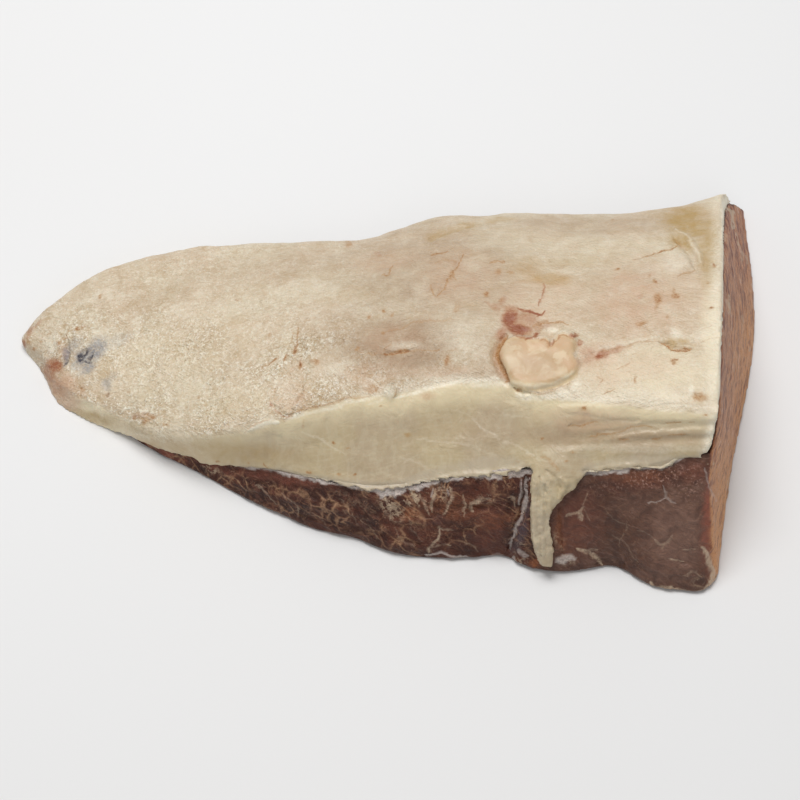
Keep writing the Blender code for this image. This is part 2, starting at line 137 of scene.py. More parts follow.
# Strokes of blood; those along the flap's upper and left outline and down the cleft between its lobes are painted shade
# in the crevices round the flap, in the colours of blood
BLOOD_AND_SHADE_STROKES = [
    ([(516, 307), (524, 311), (536, 314), (541, 315), (545, 312)], 2.6, 0.95),
    ([(545, 283), (544.5, 288), (541, 298), (536.5, 308)], 1.5, 0.6), ([(513, 334), (529, 337), (536, 335)], 2.4, 0.7),
    ([(280, 413), (285, 418), (291, 417)], 1.6, 0.4), ([(272, 403), (276, 409), (281, 414)], 1.4, 0.3),
    ([(484, 300), (492, 305), (501, 310)], 2.6, 0.3), ([(507, 335), (500, 344), (497, 355), (500, 368), (507, 381)], 10.0, 0.3),
    ([(552, 340), (550, 347)], 3.0, 0.5), ([(540, 337), (552, 343), (562, 334), (574, 337)], 1.6, 0.5),
]
BROWN_SPOTS = [
    (485.6, 292.4, 2.6, 2.6, 0, 0.75), (350, 243.5, 4, 1.8, 10, 0.6), (382.8, 310, 1.8, 2.6, 20, 0.75),
    (392, 314, 1.6, 2.2, 20, 0.5), (369, 318.4, 1.6, 1.4, 20, 0.7), (382.4, 331.7, 2, 2.4, 0, 0.5), (451, 274, 2.6, 5, 25, 0.6),
    (456, 308, 3.5, 6, 20, 0.32), (357, 349, 2.2, 1.6, -30, 0.6), (447, 360.5, 1.8, 5, 4, 0.75), (447, 361, 4, 7, 4, 0.25),
    (294.5, 349, 2, 5, 16, 0.9), (298.6, 363.5, 1.5, 3.8, 0, 0.95), (316.5, 362.6, 3.2, 2.4, 0, 0.9), (312, 362, 5, 2, 0, 0.3),
    (284.5, 357, 1.8, 4, 15, 0.75), (280, 366, 1, 1.6, 0, 0.7), (372, 389, 8, 4, -14, 0.42), (395.8, 394, 1.2, 3, 15, 0.5),
    (380, 406.8, 2, 1.2, 0, 0.5), (428, 395.5, 8, 2.5, 0, 0.22), (303, 424, 1.2, 4, 0, 0.3), (334, 442, 1.8, 1.4, 0, 0.7),
    (348.5, 447.3, 1.4, 1.4, 0, 0.6), (308, 473, 2.6, 1.8, 0, 0.8), (338, 474, 1.8, 1.5, 0, 0.55), (356, 474, 1.6, 1.5, 0, 0.7),
    (217, 461, 1.6, 1.4, 0, 0.5), (247, 462, 1.6, 1.2, 0, 0.5), (616.2, 268.3, 3, 1.8, -25, 0.75), (612, 220, 1.8, 1.6, 0, 0.42),
    (637.6, 321.9, 2.4, 1.8, 0, 0.4), (623, 336, 2.6, 1.6, -20, 0.35), (635.6, 379.5, 1.2, 2.6, 0, 0.55),
    (505, 381, 2, 1.6, 0, 0.6), (519.5, 390, 2.6, 2.4, 0, 0.75), (658, 299, 3.6, 5.5, 20, 0.8), (657, 306, 2, 5, 15, 0.45),
    (675.8, 296, 4.6, 2.4, 6, 0.72), (674, 292, 1.8, 4, 0, 0.4), (641.3, 322.6, 5, 2.4, -22, 0.7), (710.8, 307.6, 1.8, 1.4, 0, 0.85),
    (713.6, 265, 1.8, 2.6, -20, 0.65), (708, 283.6, 1.6, 1.4, 0, 0.45), (666.6, 317.4, 2, 2, 0, 0.3), (656, 281, 3, 1.8, 30, 0.65),
    (650.5, 275.5, 2.4, 1.6, 0, 0.35), (674.6, 359.6, 3.4, 2, 0, 0.85), (674, 362, 1.4, 3.2, 0, 0.6), (700, 397, 8, 4, 6, 0.7),
    (695, 397, 2.2, 4, 10, 0.9), (705.6, 414.4, 1.8, 0.8, 0, 0.7), (583, 409, 3.4, 2.4, 20, 0.62), (583, 409, 6, 5, 0, 0.25),
    (408, 434.9, 3, 1.8, 0, 0.25), (542, 439, 1.6, 1.5, 0, 0.6), (566, 461, 2, 1.3, 0, 0.55), (518, 463, 1.4, 1.2, 0, 0.55),
    (573, 452, 1.4, 1.2, 0, 0.4), (554.5, 360.7, 3, 1.8, 0, 0.35), (510, 346, 3, 2, -30, 0.2), (501, 300, 3, 2, 0, 0.25),
    (500, 271, 4, 2, 20, 0.4), (510, 273, 3, 1.6, 10, 0.4), (504, 264, 2, 1.4, 0, 0.5), (238, 300, 2.4, 1.4, 0, 0.3),
    (268, 334, 2, 1.4, 0, 0.3), (34, 348, 2, 2.6, 20, 0.6), (29, 341, 1.8, 2.6, 0, 0.5), (43, 342, 1.6, 1.4, 0, 0.6),
    (61, 345, 2, 1.6, 0, 0.55), (50, 335, 2.6, 1.2, -30, 0.5), (79, 329.6, 3, 1.8, -20, 0.85), (84, 327, 3, 1.2, -30, 0.5),
    (99.5, 298.5, 2.6, 1.6, -40, 0.55), (82, 388, 2.4, 3.4, 10, 0.45), (129, 392, 2, 2, 0, 0.3), (146, 421, 4, 3.6, 0, 0.55),
    (151, 417, 4, 1.8, 10, 0.6), (135, 419, 2.4, 2.8, 0, 0.5), (166, 424.5, 3, 1.3, 10, 0.55), (198, 397, 1.4, 3, 10, 0.3),
    (106.5, 395.5, 2, 2.4, 0, 0.35), (65, 326, 1.6, 1.2, 0, 0.35),
]
# Brown marks; a few strokes round the flap are painted shade
BROWN_AND_SHADE_STROKES = [
    ([(298, 325), (297.8, 332), (297.5, 342), (294, 351)], 1.6, 0.55), ([(293, 333), (291.5, 342)], 1.2, 0.35),
    ([(268.8, 364.7), (273, 360), (277, 355)], 1.8, 0.8), ([(262, 367), (268, 365)], 1.2, 0.4),
    ([(428.7, 284), (432, 290), (436.5, 295)], 1.5, 0.5), ([(436.5, 295), (443.5, 287), (450, 274), (457, 266), (463.5, 255)], 1.8, 0.55),
    ([(451, 272), (456, 281)], 1.5, 0.45), ([(430, 255.5), (438, 253.5), (447, 251)], 1.8, 0.72), ([(449, 249), (455, 246)], 1.4, 0.45),
    ([(436, 262), (446, 258), (456, 262)], 3.0, 0.25), ([(382, 276), (388, 273), (390, 270), (394, 265)], 1.8, 0.5),
    ([(384.5, 353.3), (391, 352.8), (400, 351.6), (409, 350.5)], 3.0, 0.9), ([(408, 350.6), (422, 349.6), (440, 350)], 1.4, 0.35),
    ([(380, 332), (397, 328), (415, 320.5), (436, 319), (459, 320)], 1.6, 0.26), ([(356, 350), (366, 353.5), (384, 353.6)], 1.3, 0.3),
    ([(385, 349), (388, 345), (392, 341)], 1.4, 0.3), ([(489, 262.3), (496, 262.6), (503, 263.6)], 1.7, 0.5),
    ([(633, 259), (645, 255.6), (656, 252.4)], 1.6, 0.5), ([(655, 253), (662, 250), (670, 248), (678, 244.5)], 2.4, 0.72),
    ([(674, 238), (680, 243), (687, 249)], 3.4, 0.3), ([(678, 278.4), (686, 275), (694, 271.5)], 1.7, 0.42),
    ([(659.7, 340.6), (665.4, 342.8), (673.5, 347.4), (682.7, 349), (692, 347.8)], 1.8, 0.85),
    ([(600, 350.7), (623, 345.5), (643, 341.5), (658, 340.4)], 1.8, 0.3), ([(617, 369), (630, 361.5)], 1.8, 0.35),
    ([(541, 324.4), (556, 323), (569, 325)], 2.2, 0.6), ([(532, 326), (540, 323), (548, 321)], 4.0, 0.35),
    # The two strokes of this line and the first of the next are painted shade: in the crevice along the flap's left
    # edge and just below its lower edge
    ([(508, 336), (501, 343), (498, 352), (498.5, 361), (502.5, 371), (508, 381)], 5.0, 0.75), ([(514, 388), (519, 391.5), (523, 392)], 1.8, 0.5),
    ([(530, 393.5), (549, 391.5), (573, 381)], 1.4, 0.25), ([(602, 395), (608, 392), (615, 391)], 1.6, 0.42),
    ([(599, 378.5), (602, 378), (603, 380.5), (600.5, 381.5)], 1.2, 0.35), ([(288, 416), (306, 409), (338, 400.5), (372, 395)], 2.6, 0.34),
    ([(244, 433), (252, 426), (262, 421), (270, 418)], 2.0, 0.3), ([(306, 385), (303, 392), (298, 400)], 3.0, 0.22),
    ([(262.5, 463), (265, 467), (268, 470)], 1.5, 0.5), ([(568, 425), (581, 425.5), (598, 423.5)], 1.7, 0.45),
    ([(588, 437.7), (602, 435), (616, 432), (638, 427.6), (652, 426.6)], 1.8, 0.38), ([(666.6, 423), (673, 421.7), (680, 423)], 2.0, 0.5),
    ([(689, 423.4), (696, 423.4)], 1.6, 0.35), ([(619, 438.4), (624, 440.4), (630, 441)], 2.2, 0.42),
    ([(651, 438.8), (658, 438), (662, 437)], 2.2, 0.42), ([(669, 435.6), (678, 434), (687, 435.6)], 2.0, 0.42),
    ([(60, 347), (66, 338), (70, 331)], 1.6, 0.42), ([(540, 456), (552, 462), (560, 472)], 3.5, 0.28),
    ([(440, 352), (470, 350), (486, 346)], 1.2, 0.2), ([(500, 402), (520, 408), (548, 414)], 1.6, 0.12),
    ([(700, 330), (712, 327)], 1.4, 0.2), ([(690, 345), (706, 341), (722, 338)], 1.4, 0.2),
]
GREY_SPOTS = [
    (95, 350, 15, 9, -48, 0.75), (84, 358, 9, 9, 0, 0.75), (88, 368, 10, 5, -30, 0.65), (67, 354, 3.4, 11, 14, 0.8),
    (74, 346, 5, 10, 20, 0.4), (118, 340, 16, 6, -20, 0.25),
    (76, 366, 6, 5, 0, 0.4), (107, 385, 5, 7, 20, 0.5), (78, 343, 6, 8, 20, 0.2), (98, 341, 6, 4, -40, 0.35),
    (88, 361, 7, 5, 0, 0.65), (112, 378, 7, 4, -30, 0.2),
]
BLACK_SPOTS = [
    (81, 358, 3.4, 5, 12, 1.0), (86, 353, 2.2, 5, 35, 0.9), (91, 357, 2.0, 4.6, 38, 1.0), (86, 362, 5, 2, 0, 0.7), (65.6, 363, 3.4, 1.4, -35, 0.85),
    (70, 358, 1.3, 4.5, 10, 0.5), (84, 362, 3, 1.3, 30, 0.45), (107, 395.5, 1.4, 2.2, 20, 0.55), (88, 358, 1.2, 4, 35, 0.4),
]
YELLOW_SPOTS = [
    (690, 222, 30, 16, 8, 0.85), (682, 242, 14, 10, 30, 0.8), (709, 248, 11, 40, 4, 0.75), (548, 280, 24, 7, 2, 0.7),
    (528, 268, 20, 12, 10, 0.3), (575, 262, 34, 6, -6, 0.22), (440, 234, 15, 5.5, -20, 0.5), (466, 226, 16, 4.5, -10, 0.4),
    (498, 220, 18, 2.6, -6, 0.4), (106, 370, 6, 8, 0, 0.45), (101, 366, 3, 3, 0, 0.5), (99, 377, 2.6, 2, 0, 0.4),
    (95, 418, 30, 6, 14, 0.6), (180, 448, 50, 9, 6, 0.4), (390, 392, 6, 9, 8, 0.2), (677, 342.5, 12, 4, 6, 0.8), (540, 372, 26, 10, 0, 0.2),
    (230, 452, 60, 12, 4, 0.5), (230, 405, 26, 14, 0, 0.16), (200, 350, 40, 20, 0, 0.1), (495, 352, 5, 16, 0, 0.4),
    (140, 430, 18, 5, 18, 0.5), (610, 392, 8, 4, 0, 0.3), (408, 434.9, 4, 2.2, 0, 0.55), (320, 405, 40, 5, -14, 0.25),
    (470, 305, 12, 5, 0, 0.2), (345, 296, 30, 8, -8, 0.12), (700, 399, 8, 5, 0, 0.4), (150, 300, 40, 10, -25, 0.12),
]
PINK_SPOTS = [
    (62, 394, 20, 22, 0, 0.62), (50, 378, 12, 16, 0, 0.3), (545, 300, 56, 30, 0, 0.26), (640, 300, 52, 40, 0, 0.4),
    (600, 355, 30, 16, -15, 0.42), (462, 278, 44, 26, 0, 0.26), (515, 300, 26, 10, 0, 0.22), (290, 395, 20, 18, 0, 0.34),
    (390, 340, 40, 16, 0, 0.2), (590, 420, 50, 12, 3, 0.26), (296, 372, 12, 18, 0, 0.24), (640, 365, 40, 14, 0, 0.25),
    (385, 262, 34, 10, -10, 0.26), (372, 372, 34, 14, -10, 0.22), (545, 342, 22, 9, 0, 0.24), (440, 372, 50, 6, 0, 0.2),
    (610, 376, 20, 14, 0, 0.22), (428, 395.5, 10, 3.4, 0, 0.3), (690, 300, 20, 26, 0, 0.18),
]
# Pale fat; the thin spots along the ridge and beside the cut end are partly painted highlight on the fat's edge
PALE_AND_HIGHLIGHT_SPOTS = [
    (675, 263, 16, 14, -10, 0.4), (553, 331, 6, 2.6, 0, 0.75), (541, 520, 12, 50, 0, 0.4), (525, 397.5, 10, 3, 8, 0.85), (549, 397, 8, 3, 0, 0.6),
    (575, 386, 4, 8, 20, 0.75), (565, 395, 8, 5, 0, 0.6), (600, 398, 16, 4, 0, 0.4), (490, 384, 26, 4, 0, 0.6),
    (450, 379, 20, 4, -6, 0.4), (645, 397, 60, 9, 3, 0.35), (691, 391, 2.2, 6, 10, 1.0), (676, 334, 5, 6, 10, 0.62),
    (712, 400, 9, 40, 0, 0.32), (266, 422, 10, 4, -30, 0.85), (252, 429, 10, 3, -20, 0.8), (365, 398, 14, 3, -14, 0.5),
    (335, 404, 10, 2.5, -14, 0.5), (404, 345, 16, 5, 0, 0.42), (389.5, 390.5, 6.5, 9, 8, 0.85), (470, 264, 12, 6, 0, 0.2),
    (286, 392, 9, 22, 10, 0.22), (464, 340, 34, 18, 20, 0.24), (519, 326, 2.4, 2, 0, 0.5), (335, 368, 12, 5, -10, 0.4),
    (350, 362, 10, 4, 0, 0.3), (300, 300, 60, 16, -5, 0.1), (108, 338, 16, 14, 20, 0.2), (52, 344, 9, 7, -30, 0.42),
    (77, 372, 8, 5, 0, 0.4), (700, 335, 20, 5, -8, 0.3), (149, 431, 14, 3, 14, 0.35), (420, 288, 8, 7, 0, 0.2),
    (366, 312, 14, 6, -8, 0.25), (205, 310, 50, 12, -12, 0.14), (716, 380, 5, 40, 0, 0.35),
]
PALE_AND_HIGHLIGHT_STROKES = [
    ([(302, 431), (322, 441), (337, 449.5), (345, 453)], 2.6, 0.6), ([(417, 439), (435, 441), (455, 443), (475, 447)], 2.4, 0.45),
    ([(453, 437), (465, 443), (480, 450)], 1.8, 0.25), ([(450, 408), (465, 414), (476, 421)], 1.8, 0.3),
    ([(472, 420), (486, 430), (502, 440), (520, 447), (542, 459)], 2.4, 0.55), ([(475, 445), (487, 452), (497, 456)], 1.8, 0.3),
    ([(496, 408), (505, 414), (530, 419)], 1.8, 0.35), ([(400, 457), (415, 461), (432, 470), (450, 475)], 2.6, 0.4),
    ([(675, 230), (685, 235), (692, 243), (698, 254), (701, 264)], 2.6, 0.35), ([(676, 243), (684, 247), (689, 254)], 2.0, 0.35),
    ([(560, 417), (580, 414), (600, 420)], 3.0, 0.35), ([(575, 449), (600, 447), (640, 449), (706, 448)], 8.0, 0.55),
    ([(600, 432), (640, 431), (700, 428)], 4.0, 0.35), ([(590, 418), (630, 421), (690, 432)], 2.0, 0.3),
    ([(697, 330), (714, 326)], 2.2, 0.4), ([(690, 342), (716, 333)], 2.0, 0.4), ([(600, 348), (630, 341), (658, 337)], 2.4, 0.3),
    ([(384, 399), (378, 402), (370, 404)], 3.0, 0.4),
    # Painted highlight along the ridge, over its paler edge of fat, and along the flap's lower lip
    ([(248, 431), (258, 425), (268, 421), (279, 423)], 5.0, 0.9), ([(286, 421), (310, 413), (357, 401), (378, 396)], 4.0, 0.6),
    ([(396, 398), (425, 389), (449, 383), (498, 379)], 5.0, 0.7), ([(516, 394), (528, 397), (546, 398), (562, 396)], 6.0, 0.6),
    ([(560, 400), (600, 400), (640, 402), (718, 409)], 4.0, 0.5), ([(514, 382), (536, 386), (560, 381), (574, 372)], 5.0, 0.4),
]
# Areas of the top painted darker than the rest, as painted shade where it turns from the light, and lighter and
# creamier, as painted light where the light falls full on it
PAINTED_SHADE_SPOTS = [
    (440, 275, 100, 56, 0, 0.55), (395, 335, 80, 50, 0, 0.45), (470, 368, 60, 16, 0, 0.35), (60, 350, 36, 30, 0, 0.1), (690, 225, 36, 20, 0, 0.15),
    (350, 262, 130, 18, -4, 0.3), (170, 292, 50, 12, -25, 0.2), (600, 226, 130, 12, 0, 0.4), (480, 345, 40, 24, 0, 0.35), (620, 300, 60, 40, 0, 0.2),
    (400, 345, 64, 34, 0, 0.9), (610, 436, 110, 14, 0, 0.55), (470, 428, 60, 20, 0, 0.25), (540, 366, 26, 14, 0, 0.3),
]
PAINTED_LIGHT_SPOTS = [
    (655, 375, 74, 36, 0, 0.7), (640, 405, 80, 8, 3, 0.4), (714, 340, 14, 70, 0, 0.9), (160, 370, 70, 46, 0, 0.35), (240, 400, 60, 26, 0, 0.35),
    (540, 240, 60, 16, 0, 0.15), (620, 250, 50, 20, 0, 0.15), (220, 330, 50, 30, 0, 0.2),
]
# Furrows and ridges of the fat: strokes with their depth in metres, below zero for a furrow
FAT_RELIEF = [
    ([(659, 341), (666, 343), (674, 347.5), (683, 349), (692, 348)], 4.0, -0.0011), ([(662, 336), (676, 340), (692, 341)], 8.0, 0.0008),
    ([(630, 258), (655, 253), (678, 244.5)], 3.2, -0.0004), ([(674, 237), (684, 246), (692, 256), (696, 270)], 6.0, -0.0007),
    ([(675, 230), (688, 238), (698, 253), (702, 266)], 6.0, 0.0005), ([(662, 263), (686, 264)], 24.0, 0.0007),
    ([(506, 335), (499, 344), (495, 356), (499, 367), (503, 375), (508, 385)], 8.0, -0.0012), ([(508, 320), (520, 326), (540, 328)], 17.0, -0.0008),
    ([(514, 388), (520, 392), (530, 394)], 4.0, -0.0006), ([(551.5, 339), (552, 346)], 4.0, -0.0008),
    ([(519, 326), (548, 329), (562, 327)], 4.0, 0.0004),
    ([(66, 336), (68, 350), (67, 362)], 4.0, -0.0008), ([(58, 338), (60, 352)], 7.0, 0.0005), ([(75, 338), (77, 350), (74, 364)], 6.0, 0.0004),
    ([(86, 349), (80, 361)], 4.0, -0.0006), ([(94, 350), (89, 362)], 3.0, -0.0005), ([(98, 345), (92, 362)], 4.0, 0.0004),
    ([(105, 380), (108, 396)], 4.0, -0.0004), ([(300, 345), (296, 372), (288, 404)], 22.0, -0.0010),
    ([(308, 372), (303, 392), (292, 408)], 5.0, 0.0003), ([(272, 403), (284, 416), (296, 414)], 4.0, -0.0004),
    ([(384, 353.3), (410, 350.5)], 4.0, -0.0005), ([(386, 348), (420, 345)], 7.0, 0.0004),
    ([(436, 295), (450, 273), (463, 255)], 3.0, -0.0003), ([(430, 255.5), (455, 246)], 3.4, -0.0003),
    ([(690, 396), (700, 398)], 9.0, -0.0006), ([(248, 431), (258, 425), (268, 421), (279, 423)], 5.0, 0.0003),
    ([(524, 388), (526, 398)], 5.0, 0.0004), ([(540, 391), (543, 399)], 5.0, 0.0004), ([(556, 389), (562, 397)], 5.0, 0.0004),
    ([(568, 384), (574, 392)], 4.0, 0.0004),     ([(390, 385), (391, 398)], 14.0, 0.0006),
    ([(560, 408), (620, 412), (722, 420)], 12.0, 0.0004), ([(570, 426), (600, 424), (640, 420)], 8.0, -0.0003),
    ([(580, 439), (616, 432), (660, 426), (722, 424)], 9.0, -0.0004), ([(600, 443), (660, 434), (722, 431)], 8.0, 0.0003),
    ([(604, 443), (660, 440), (722, 437)], 8.0, -0.0004), ([(570, 451), (640, 450), (722, 447)], 14.0, 0.0004),
    ([(539, 476), (538, 520), (541, 556)], 3.4, -0.0007), ([(545, 484), (545, 520), (546, 556)], 3.0, -0.0007),
    ([(549, 482), (550, 520), (552, 552)], 3.4, 0.0005), ([(560, 478), (566, 484), (558, 498)], 5.0, 0.0005),
    ([(533, 480), (533, 520), (537, 550)], 3.0, 0.0005), ([(546, 470), (556, 480), (560, 490)], 4.0, -0.0005), ([(430, 238), (450, 230), (474, 225)], 5.0, -0.0006),
    ([(434, 243), (458, 234), (490, 228)], 6.0, 0.0004), ([(430, 340), (470, 330), (492, 345)], 9.0, -0.0004),
    ([(620, 350), (600, 352), (586, 356)], 6.0, -0.0004), ([(600, 345), (630, 340), (658, 337)], 5.0, 0.0003),
]

# Silver skin along the lower edge of the fat: (x, width in pixels)
SILVER_WIDTHS = [
    (225, 0), (262, 1.4), (300, 1.6), (360, 2.2), (374, 4), (382, 8), (398, 7), (408, 3), (440, 2.6), (480, 3.2), (500, 6),
    (528, 7), (532, 3), (578, 2.6), (600, 4.5), (626, 6), (634, 1.2), (650, 2.2), (676, 1.8), (684, 0.6), (710, 0),
]
SILVER_STROKES = [
    ([(527, 478), (525, 492), (524.5, 505), (519, 521), (514, 535), (508, 549)], 2.6, 0.65),
    ([(523, 480), (521, 494), (520, 506)], 3.4, 0.45), ([(663, 484), (666, 498), (671, 501), (677, 504)], 1.8, 0.3),
    ([(648, 502), (658, 501.5), (667, 499.5)], 1.5, 0.4), ([(704.5, 468), (708.7, 485), (715.7, 501)], 2.6, 0.3),
    ([(512, 556), (516, 562), (522, 566)], 5.0, 0.8), ([(425, 556), (440, 553), (452, 556), (468, 557)], 3.0, 0.7),
    ([(480, 558), (495, 556.5), (508, 557)], 1.8, 0.35), ([(556, 561), (563, 558), (570, 556.5), (575, 560)], 7.0, 0.75),
    ([(517, 550), (522, 553), (528, 556)], 6.0, 0.45),
    ([(384, 490), (392, 492), (400, 490)], 8.0, 0.7), ([(446, 488), (447, 496)], 2.2, 0.4), ([(432, 488), (431, 498)], 2.2, 0.4),
]
MARBLE_STROKES = [
    ([(575, 548), (587, 551), (594, 556), (602, 564)], 4.0, 0.7), ([(587, 550), (598, 550)], 2.4, 0.4),
    ([(564, 516), (572, 513), (579, 511), (586, 505)], 3.0, 0.5), ([(580, 509), (583, 519)], 4.6, 0.6),
    ([(655, 540), (664, 544), (672, 535)], 3.0, 0.32), ([(664, 544), (663, 550)], 2.0, 0.2), ([(669, 557), (678, 559.6), (685, 562)], 1.6, 0.6),
    ([(684, 549), (696, 548.6)], 1.6, 0.4), ([(701, 546), (706, 553), (709, 562), (713, 574), (711, 584)], 5.0, 0.85),
    ([(648, 583), (655, 588), (664, 589), (675, 588)], 4.0, 0.9), ([(676, 589), (690, 592), (702, 591), (712, 583)], 4.0, 0.7),
    ([(628, 520), (624, 532), (618, 545)], 1.4, 0.18), ([(588, 494), (584, 503), (590, 520)], 1.6, 0.22),
    ([(612, 534), (624, 540), (634, 556), (640, 562)], 1.8, 0.16), ([(636, 530), (646, 532), (655, 540)], 1.6, 0.18),
    ([(605, 508), (616, 520), (630, 524)], 1.4, 0.18), ([(684, 575), (692, 571), (702, 576)], 2.0, 0.3),
    ([(435, 488), (433, 500), (431, 512)], 2.6, 0.55), ([(449, 487), (450, 500), (445, 515)], 2.8, 0.6),
    ([(420, 492), (424, 504), (428, 514)], 2.6, 0.5), ([(385, 495), (390, 508), (389, 522)], 2.4, 0.4), ([(463, 493), (466, 505), (464, 515)], 2.2, 0.5),
    ([(474, 512), (470, 506), (480, 500), (492, 499)], 3.4, 0.65), ([(508, 497), (515, 500), (514, 508)], 2.0, 0.35),
    ([(440, 528), (438, 538), (430, 545), (429, 553)], 2.4, 0.55), ([(428, 546), (440, 545), (452, 546)], 1.8, 0.4),
    ([(465, 543), (472, 546), (478, 552)], 1.6, 0.3), ([(437, 530), (452, 531)], 1.8, 0.35), ([(410, 518), (413, 530), (422, 540)], 1.5, 0.2),
    ([(395, 528), (402, 540), (415, 548)], 1.5, 0.2), ([(360, 520), (370, 528), (376, 540)], 1.5, 0.2), ([(316, 512), (325, 522), (332, 532)], 1.5, 0.2),
    ([(282, 492), (297, 505), (299, 518)], 1.8, 0.3), ([(255, 485), (265, 490), (276, 505)], 1.8, 0.3), ([(340, 500), (352, 512), (356, 526)], 1.5, 0.2),
]
LACE_SPOTS = [
    (566, 559, 8, 5, 20, 0.9), (521, 549, 7, 9, 20, 0.5), (388, 503, 8, 12, 10, 0.8), (414, 496, 16, 12, 0, 0.95),
    (396, 512, 10, 9, 0, 0.7), (213, 470, 12, 4, 24, 0.75), (226, 478, 9, 3, 26, 0.5), (483, 500, 8, 5, 0, 0.42), (438, 548, 8, 5, 0, 0.3),
    (556, 538, 3, 8, 0, 0.4), (562, 544, 4, 6, 0, 0.35), (713, 580, 4, 8, 10, 0.8), (700, 581, 9, 6, 0, 0.35), (711, 465, 3.5, 3.5, 0, 0.95),
    (372, 490, 14, 5, 8, 0.5), (520, 561, 10, 5, 10, 0.55), (345, 505, 30, 12, 10, 0.15), (488, 499, 8, 5, -10, 0.7), (440, 494, 8, 10, 0, 0.5),
]
BRUISE_SPOTS = [(521, 533, 5, 17, 16, 0.75), (515, 546, 8, 7, 0, 0.5), (526, 514, 3.5, 10, 8, 0.6), (438, 520, 8, 6, 0, 0.2)]
RUST_SPOTS = [
    (534, 564, 7, 4, 0, 0.85), (410, 514, 10, 7, 0, 0.55), (425, 502, 10, 10, 0, 0.35), (558, 530, 3, 18, 0, 0.45),
    (562, 543, 5, 6, 0, 0.5), (495, 520, 24, 8, -10, 0.3), (450, 508, 30, 14, 0, 0.3), (640, 476, 30, 8, -4, 0.25),
]
RED_SPOTS = [
    (711, 508, 8, 50, 5, 0.55), (713, 450, 3, 12, 0, 0.95), (694, 472, 18, 12, 0, 0.15), (712, 545, 7, 34, 0, 0.3),
    (640, 480, 40, 12, -4, 0.1), (490, 530, 18, 28, 0, 0.12), (576, 525, 26, 34, 0, 0.15), (210, 463, 26, 5, 24, 0.3),
    (160, 452, 30, 3, 22, 0.4), (280, 478, 40, 5, 10, 0.18),
]
DIM_SPOTS = [
    (470, 545, 28, 12, 0, 0.6), (480, 520, 20, 10, 0, 0.3), (578, 505, 26, 22, 0, 0.45), (600, 490, 34, 9, -5, 0.5),
    (462, 508, 12, 9, 0, 0.5), (500, 545, 16, 10, 0, 0.5), (320, 520, 50, 9, 16, 0.3), (400, 548, 50, 6, 8, 0.5), (656, 478, 40, 9, -4, 0.3), (566, 490, 12, 22, 20, 0.4),
]
# Where the smoother muscle is paler: its pale veil of membrane, and painted sheen
HAZE_AND_SHEEN_SPOTS = [(676, 535, 34, 46, 0, 0.55), (640, 505, 26, 16, 0, 0.25), (700, 495, 12, 20, 0, 0.3), (670, 575, 34, 10, 0, 0.3)]
# Plain muscle, with little fat between its fibres
CALM_SPOTS = [
    (290, 481, 56, 8, 13, 0.9), (500, 528, 16, 26, 0, 0.8), (480, 550, 50, 9, 0, 0.8), (480, 490, 20, 8, 0, 0.4),
    (468, 508, 9, 10, 0, 0.8), (340, 532, 60, 8, 18, 0.5),
]
DOT_SPOTS = [(656, 476, 36, 12, -6, 0.9), (690, 482, 16, 22, 0, 0.55), (560, 500, 14, 6, 0, 0.2), (606, 488, 30, 8, -4, 0.4)]
CUT_STROKES = [
    ([(726, 208), (731, 211), (733, 216), (733.5, 230)], 3.4, 1.0), ([(725, 232), (725, 240)], 3.0, 0.5),
    ([(736, 233), (738, 239), (741, 246)], 2.2, 0.7), ([(741, 251), (742, 266)], 2.2, 0.5), ([(746, 256), (747, 264)], 2.0, 0.5),
    ([(728, 297), (729, 308), (730, 318)], 2.4, 0.7), ([(741, 316), (743, 331)], 2.6, 0.65), ([(749, 346), (748, 352)], 2.6, 0.6),
    ([(723, 250), (724, 264)], 2.6, 0.5), ([(735, 350), (734, 372)], 1.6, 0.3), ([(730, 475), (727, 495)], 1.8, 0.3),
]
LEAN_RELIEF = [
    ([(527, 478), (524, 506), (515, 533), (508, 549)], 7.0, -0.0012), ([(505, 480), (500, 510), (492, 545)], 16.0, 0.0007),
    ([(663, 474), (667, 499)], 5.0, -0.0006), ([(700, 465), (708, 500), (712, 550)], 6.0, 0.0005),
    ([(597, 562), (612, 562), (624, 566)], 9.0, -0.0008), ([(557, 500), (558, 530), (562, 552)], 5.0, -0.0007),
    ([(230, 482), (300, 500), (380, 520)], 8.0, 0.0007), ([(300, 515), (360, 530), (420, 545)], 6.0, -0.0006),
    ([(430, 505), (470, 510), (500, 505)], 8.0, -0.0007), ([(575, 549), (602, 564)], 4.0, 0.0004),
    ([(640, 560), (670, 570), (700, 572)], 12.0, 0.0006), ([(560, 560), (570, 559)], 10.0, 0.0006), ([(700, 546), (710, 566), (710, 584)], 8.0, 0.0005),
    ([(650, 586), (672, 588)], 5.0, 0.0005), ([(390, 520), (440, 522), (480, 514)], 7.0, 0.0006), ([(610, 500), (625, 530), (636, 556)], 20.0, 0.0005),
    ([(514, 560), (534, 566)], 8.0, 0.0006), ([(440, 550), (455, 535), (470, 528)], 6.0, -0.0005), ([(620, 486), (690, 484)], 10.0, 0.0003),
]


def clamp01(values):
    return np.clip(values, 0.0, 1.0)


def smoothstep(values):
    eased = clamp01(values)
    return eased * eased * (3 - 2 * eased)


def camera_frame():
    """The camera's place and its backward, right and up directions."""
    flat = math.cos(CAMERA_ELEVATION)
    back = np.array([math.sin(CAMERA_AZIMUTH) * flat, -math.cos(CAMERA_AZIMUTH) * flat, math.sin(CAMERA_ELEVATION)])
    right = np.array([math.cos(CAMERA_AZIMUTH), math.sin(CAMERA_AZIMUTH), 0.0])
    return AIM + back * CAMERA_DISTANCE, back, right, np.cross(back, right)


